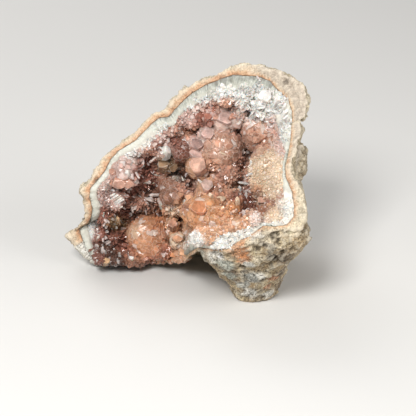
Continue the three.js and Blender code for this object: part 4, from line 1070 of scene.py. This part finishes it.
# Across, up, width, length, the way it points as seen (0 right, 90 up), how far it turns
# towards the eye (1 straight at it), and its colour.
SINGLE_CRYSTALS = [
    (-33, 29.8, 1.1, 3.8, 32, 0.3, "milk"), (-32.1, 28.9, 1.1, 4.4, 32, 0.3, "milk"),
    (-31.2, 28.4, 1.1, 4.4, 32, 0.3, "ice"), (-30.3, 27.9, 1.1, 4.4, 32, 0.3, "milk"),
    (-29.5, 27.3, 1.1, 4, 32, 0.3, "milk"), (-29, 25.4, 1, 2.4, 25, 0.3, "ice"),
    (-32.4, 33, 0.8, 2.6, -24, 0.3, "milk"), (-25.7, 39.6, 3.3, 3.3, 60, 0.7, "milk"),
    (-27.7, 42, 2.9, 2.9, 120, 0.8, "rose"), (-25.3, 43.7, 2.9, 2.9, 60, 0.8, "rose"),
    (-31, 40, 3.3, 3.3, 150, 0.8, "dusk"), (-31.4, 36.3, 3.3, 3.3, 200, 0.8, "dusk"),
    (-28.6, 36.6, 5.6, 6.5, 255, 0.8, "dusk"), (-25.2, 36.4, 4.6, 5.5, 290, 0.8, "dusk"),
    (-13.6, 39, 1.6, 2.8, -10, 0.4, "ice"), (-18.2, 39, 1.1, 4, 98, 0.3, "ice"),
    (-20.4, 30, 0.8, 3.4, -38, 0.3, "milk"), (-16.4, 30.6, 1.2, 1.6, -30, 0.5, "milk"),
    (-19, 35.4, 0.7, 2.4, 15, 0.3, "ice"), (-15.8, 35, 0.6, 2, 25, 0.3, "tan"),
    (-21.9, 36, 0.6, 1.8, 20, 0.3, "tan"), (-22, 23.6, 0.9, 3, 78, 0.3, "ice"),
    (-16.7, 22.8, 2.4, 2.9, 60, 0.6, "apricot"), (-11.8, 26.5, 2.4, 2.4, 100, 0.6, "ice"),
    (-34.1, 3.6, 3.4, 1.9, 80, 0.9, "amber"), (-23.9, 4.6, 2.4, 2.4, 80, 0.8, "milk"),
    (-26.1, 16.7, 1.1, 3.3, 160, 0.3, "blush"), (-35.5, 22.8, 1.6, 2, 90, 0.7, "milk"),
    (-34.1, 15.5, 1.6, 2, 60, 0.7, "milk"), (-35.9, 9.8, 1.6, 2, 120, 0.7, "milk"),
    (-37.5, 13.1, 1.6, 2, 60, 0.7, "ice"), (-29.4, 20, 2, 3.3, 100, 0.5, "amber"),
    (-33.5, 27.5, 2.4, 2.9, 70, 0.6, "rose"), (-31.2, 32.6, 1.2, 3.3, 155, 0.3, "milk"),
    (-10.2, 48.2, 4.6, 4.6, 80, 0.7, "milk"), (-12.2, 49.6, 2.4, 2.9, 140, 0.5, "milk"),
    (-8.2, 47.6, 2.6, 2.8, 20, 0.6, "ice"), (-11.1, 43.2, 5.6, 4, 60, 0.9, "bronze"),
    (-7.4, 42.3, 4.2, 3.6, 320, 0.85, "bronze"), (-10.8, 41.2, 1.2, 2.9, 5, 0.4, "tan"),
    (-20.6, 44.7, 1.6, 3.3, 110, 0.4, "milk"), (-20.4, 47.7, 2, 2.4, 60, 0.5, "milk"),
    (-5.1, 38.4, 1.9, 4.1, 75, 0.35, "ice"), (-2.4, 35.9, 2.9, 3.7, 110, 0.5, "ice"),
    (7.3, 55, 6, 5.3, 80, 0.93, "rose"), (3.3, 50.8, 6, 5, 100, 0.93, "mauve"),
    (3.5, 41.8, 8.6, 6, 110, 0.93, "shell"), (2.9, 46.6, 7.4, 5, 75, 0.9, "rose"),
    (13.5, 47.6, 3.2, 1.8, 60, 0.85, "tan"), (14.9, 61.2, 7.4, 5.6, 90, 0.93, "rose"),
    (10.9, 63.4, 1, 2.8, 85, 0.3, "milk"), (-4.4, 28.4, 1.4, 3.3, 95, 0.3, "milk"),
    (-2.2, 26.9, 1.4, 3.3, 80, 0.3, "milk"), (-7.8, 26.9, 1.6, 3.3, 100, 0.4, "blush"),
    (-0.5, 29, 4.1, 3.3, 60, 0.9, "peach"), (1.8, 34.3, 3.7, 4.9, 100, 0.6, "dusk"),
    (6.7, 33.7, 6.4, 5.4, 80, 0.88, "blush"), (5.3, 35.1, 1.2, 3.7, 140, 0.3, "milk"),
    (12.2, 27.9, 3.9, 4.6, 75, 0.8, "tan"), (8.6, 29.4, 2.4, 3.3, 110, 0.5, "tan"),
    (3.7, 29.8, 2.9, 3.3, 60, 0.6, "peach"), (23.4, 35.2, 1.7, 5.6, 172, 0.4, "milk"),
    (20.6, 31.2, 2.2, 4.8, 95, 0.5, "milk"), (25.2, 39.4, 1.3, 3.6, 205, 0.4, "milk"),
    (19.3, 26.5, 2.4, 4.5, 95, 0.4, "tan"), (24.8, 42.4, 1.6, 3.3, 80, 0.4, "milk"),
    (29.4, 28.2, 4.1, 3.3, 90, 0.93, "shell"), (32.2, 26.1, 2.9, 2.4, 60, 0.8, "peach"),
    (3.6, 24.8, 7.4, 5.2, 90, 0.93, "apricot"), (10.2, 23.3, 3.7, 4.1, 60, 0.7, "honey"),
    (13.1, 23.7, 2.4, 3.7, 80, 0.5, "peach"), (-7.3, 18.4, 4.1, 3.3, 80, 0.9, "salmon"),
    (-5.3, 12.2, 4.5, 3.7, 80, 0.9, "peach"), (-6.5, 15.1, 3.3, 3.3, 120, 0.8, "apricot"),
    (-6.4, 5.6, 3.4, 3, 120, 0.85, "apricot"), (-3, 6.6, 3.6, 3, 60, 0.85, "peach"),
    (17.1, 62, 3.7, 3.7, 40, 0.8, "dusk"), (11.8, 62, 4.1, 4.1, 130, 0.8, "dusk"),
    (14.7, 65.3, 3.3, 3.7, 80, 0.7, "blush"), (6.9, 62, 3.7, 3.7, 60, 0.8, "rust"),
    (30.9, 69.9, 6.6, 7.6, 100, 0.9, "milk"), (20.5, 67.3, 1.3, 5, 45, 0.3, "blush"),
    (34.9, 68.3, 1.9, 4.8, 75, 0.4, "milk"), (37.6, 65.2, 1.9, 4.2, 62, 0.4, "milk"),
    (24.4, 66.2, 1.2, 6.6, 46, 0.25, "milk"), (19.4, 68.3, 1, 4.6, 26, 0.25, "milk"),
    (27.9, 63.4, 1.1, 4.6, 50, 0.25, "blush"), (39.6, 60.4, 2, 3.2, 80, 0.6, "milk"),
    (23, 68.3, 1.2, 5.2, 48, 0.3, "milk"), (17.5, 64.8, 1.2, 4.2, 40, 0.3, "blush"),
    (26.5, 66, 1.4, 4.6, 55, 0.35, "milk"), (19, 70, 1.2, 3.6, 130, 0.3, "milk"),
    (35.2, 67.6, 2.9, 5.3, 72, 0.5, "milk"), (38.4, 63.4, 2.4, 4.1, 60, 0.5, "milk"),
    (25.7, 67.4, 1.8, 3.6, 130, 0.3, "blush"), (23.4, 64.9, 3.4, 3.6, 90, 0.7, "blush"),
    (22.4, 63.2, 2.2, 3.8, 50, 0.5, "milk"), (18.8, 66.4, 3.2, 3.4, 80, 0.7, "salmon"),
    (12.2, 61.6, 1, 2.4, 85, 0.3, "milk"),
]


def single_crystals(carriers):
    """All single crystals in one mesh, each rooted in the carrier that shows at its place."""
    skin = bmesh.new()
    for carrier in carriers:
        skin.from_mesh(carrier)
    ground = BVHTree.FromBMesh(skin)
    skin.free()
    forms, tints, tips, shades = [], [], [], []
    for number, (across, up, width, length, angle, toward, colour) in enumerate(SINGLE_CRYSTALS):
        spot = spot_on(ground, across, up)
        if not spot:
            continue
        lean, slope, edge, depth, shade = BLUNT if toward >= BLUNT_TOWARD else SHARP
        flat = math.cos(math.radians(angle)) * RIGHT + math.sin(math.radians(angle)) * RISE
        way = (math.sqrt(1 - toward ** 2) * flat - toward * SIGHT + lean * spot[1]).normalized()
        points, faces, edges = crystal_form(90 + number, length / width, SINGLE_THICKNESS, slope, edge)
        turn = np.array(way.to_track_quat("Z", "Y").to_matrix())
        root = np.array(spot[0] - way * depth * length * MM)
        forms.append((points * width * MM @ turn.T + root, faces, edges))
        tints.append(np.tile(linear(QUARTZ[colour]), (len(points), 1)))
        tips.append(tip_share(points))
        shades.append(np.full(len(points), shade))
    mesh = crystal_mesh("single crystals", forms)
    write_colours(mesh, "tint", np.concatenate(tints))
    write_values(mesh, tip=np.concatenate(tips), shade=np.concatenate(shades))
    dress_crystals(mesh, 8)
    return mesh


finished("single_crystals", single_crystals([crust, band]), amethyst)
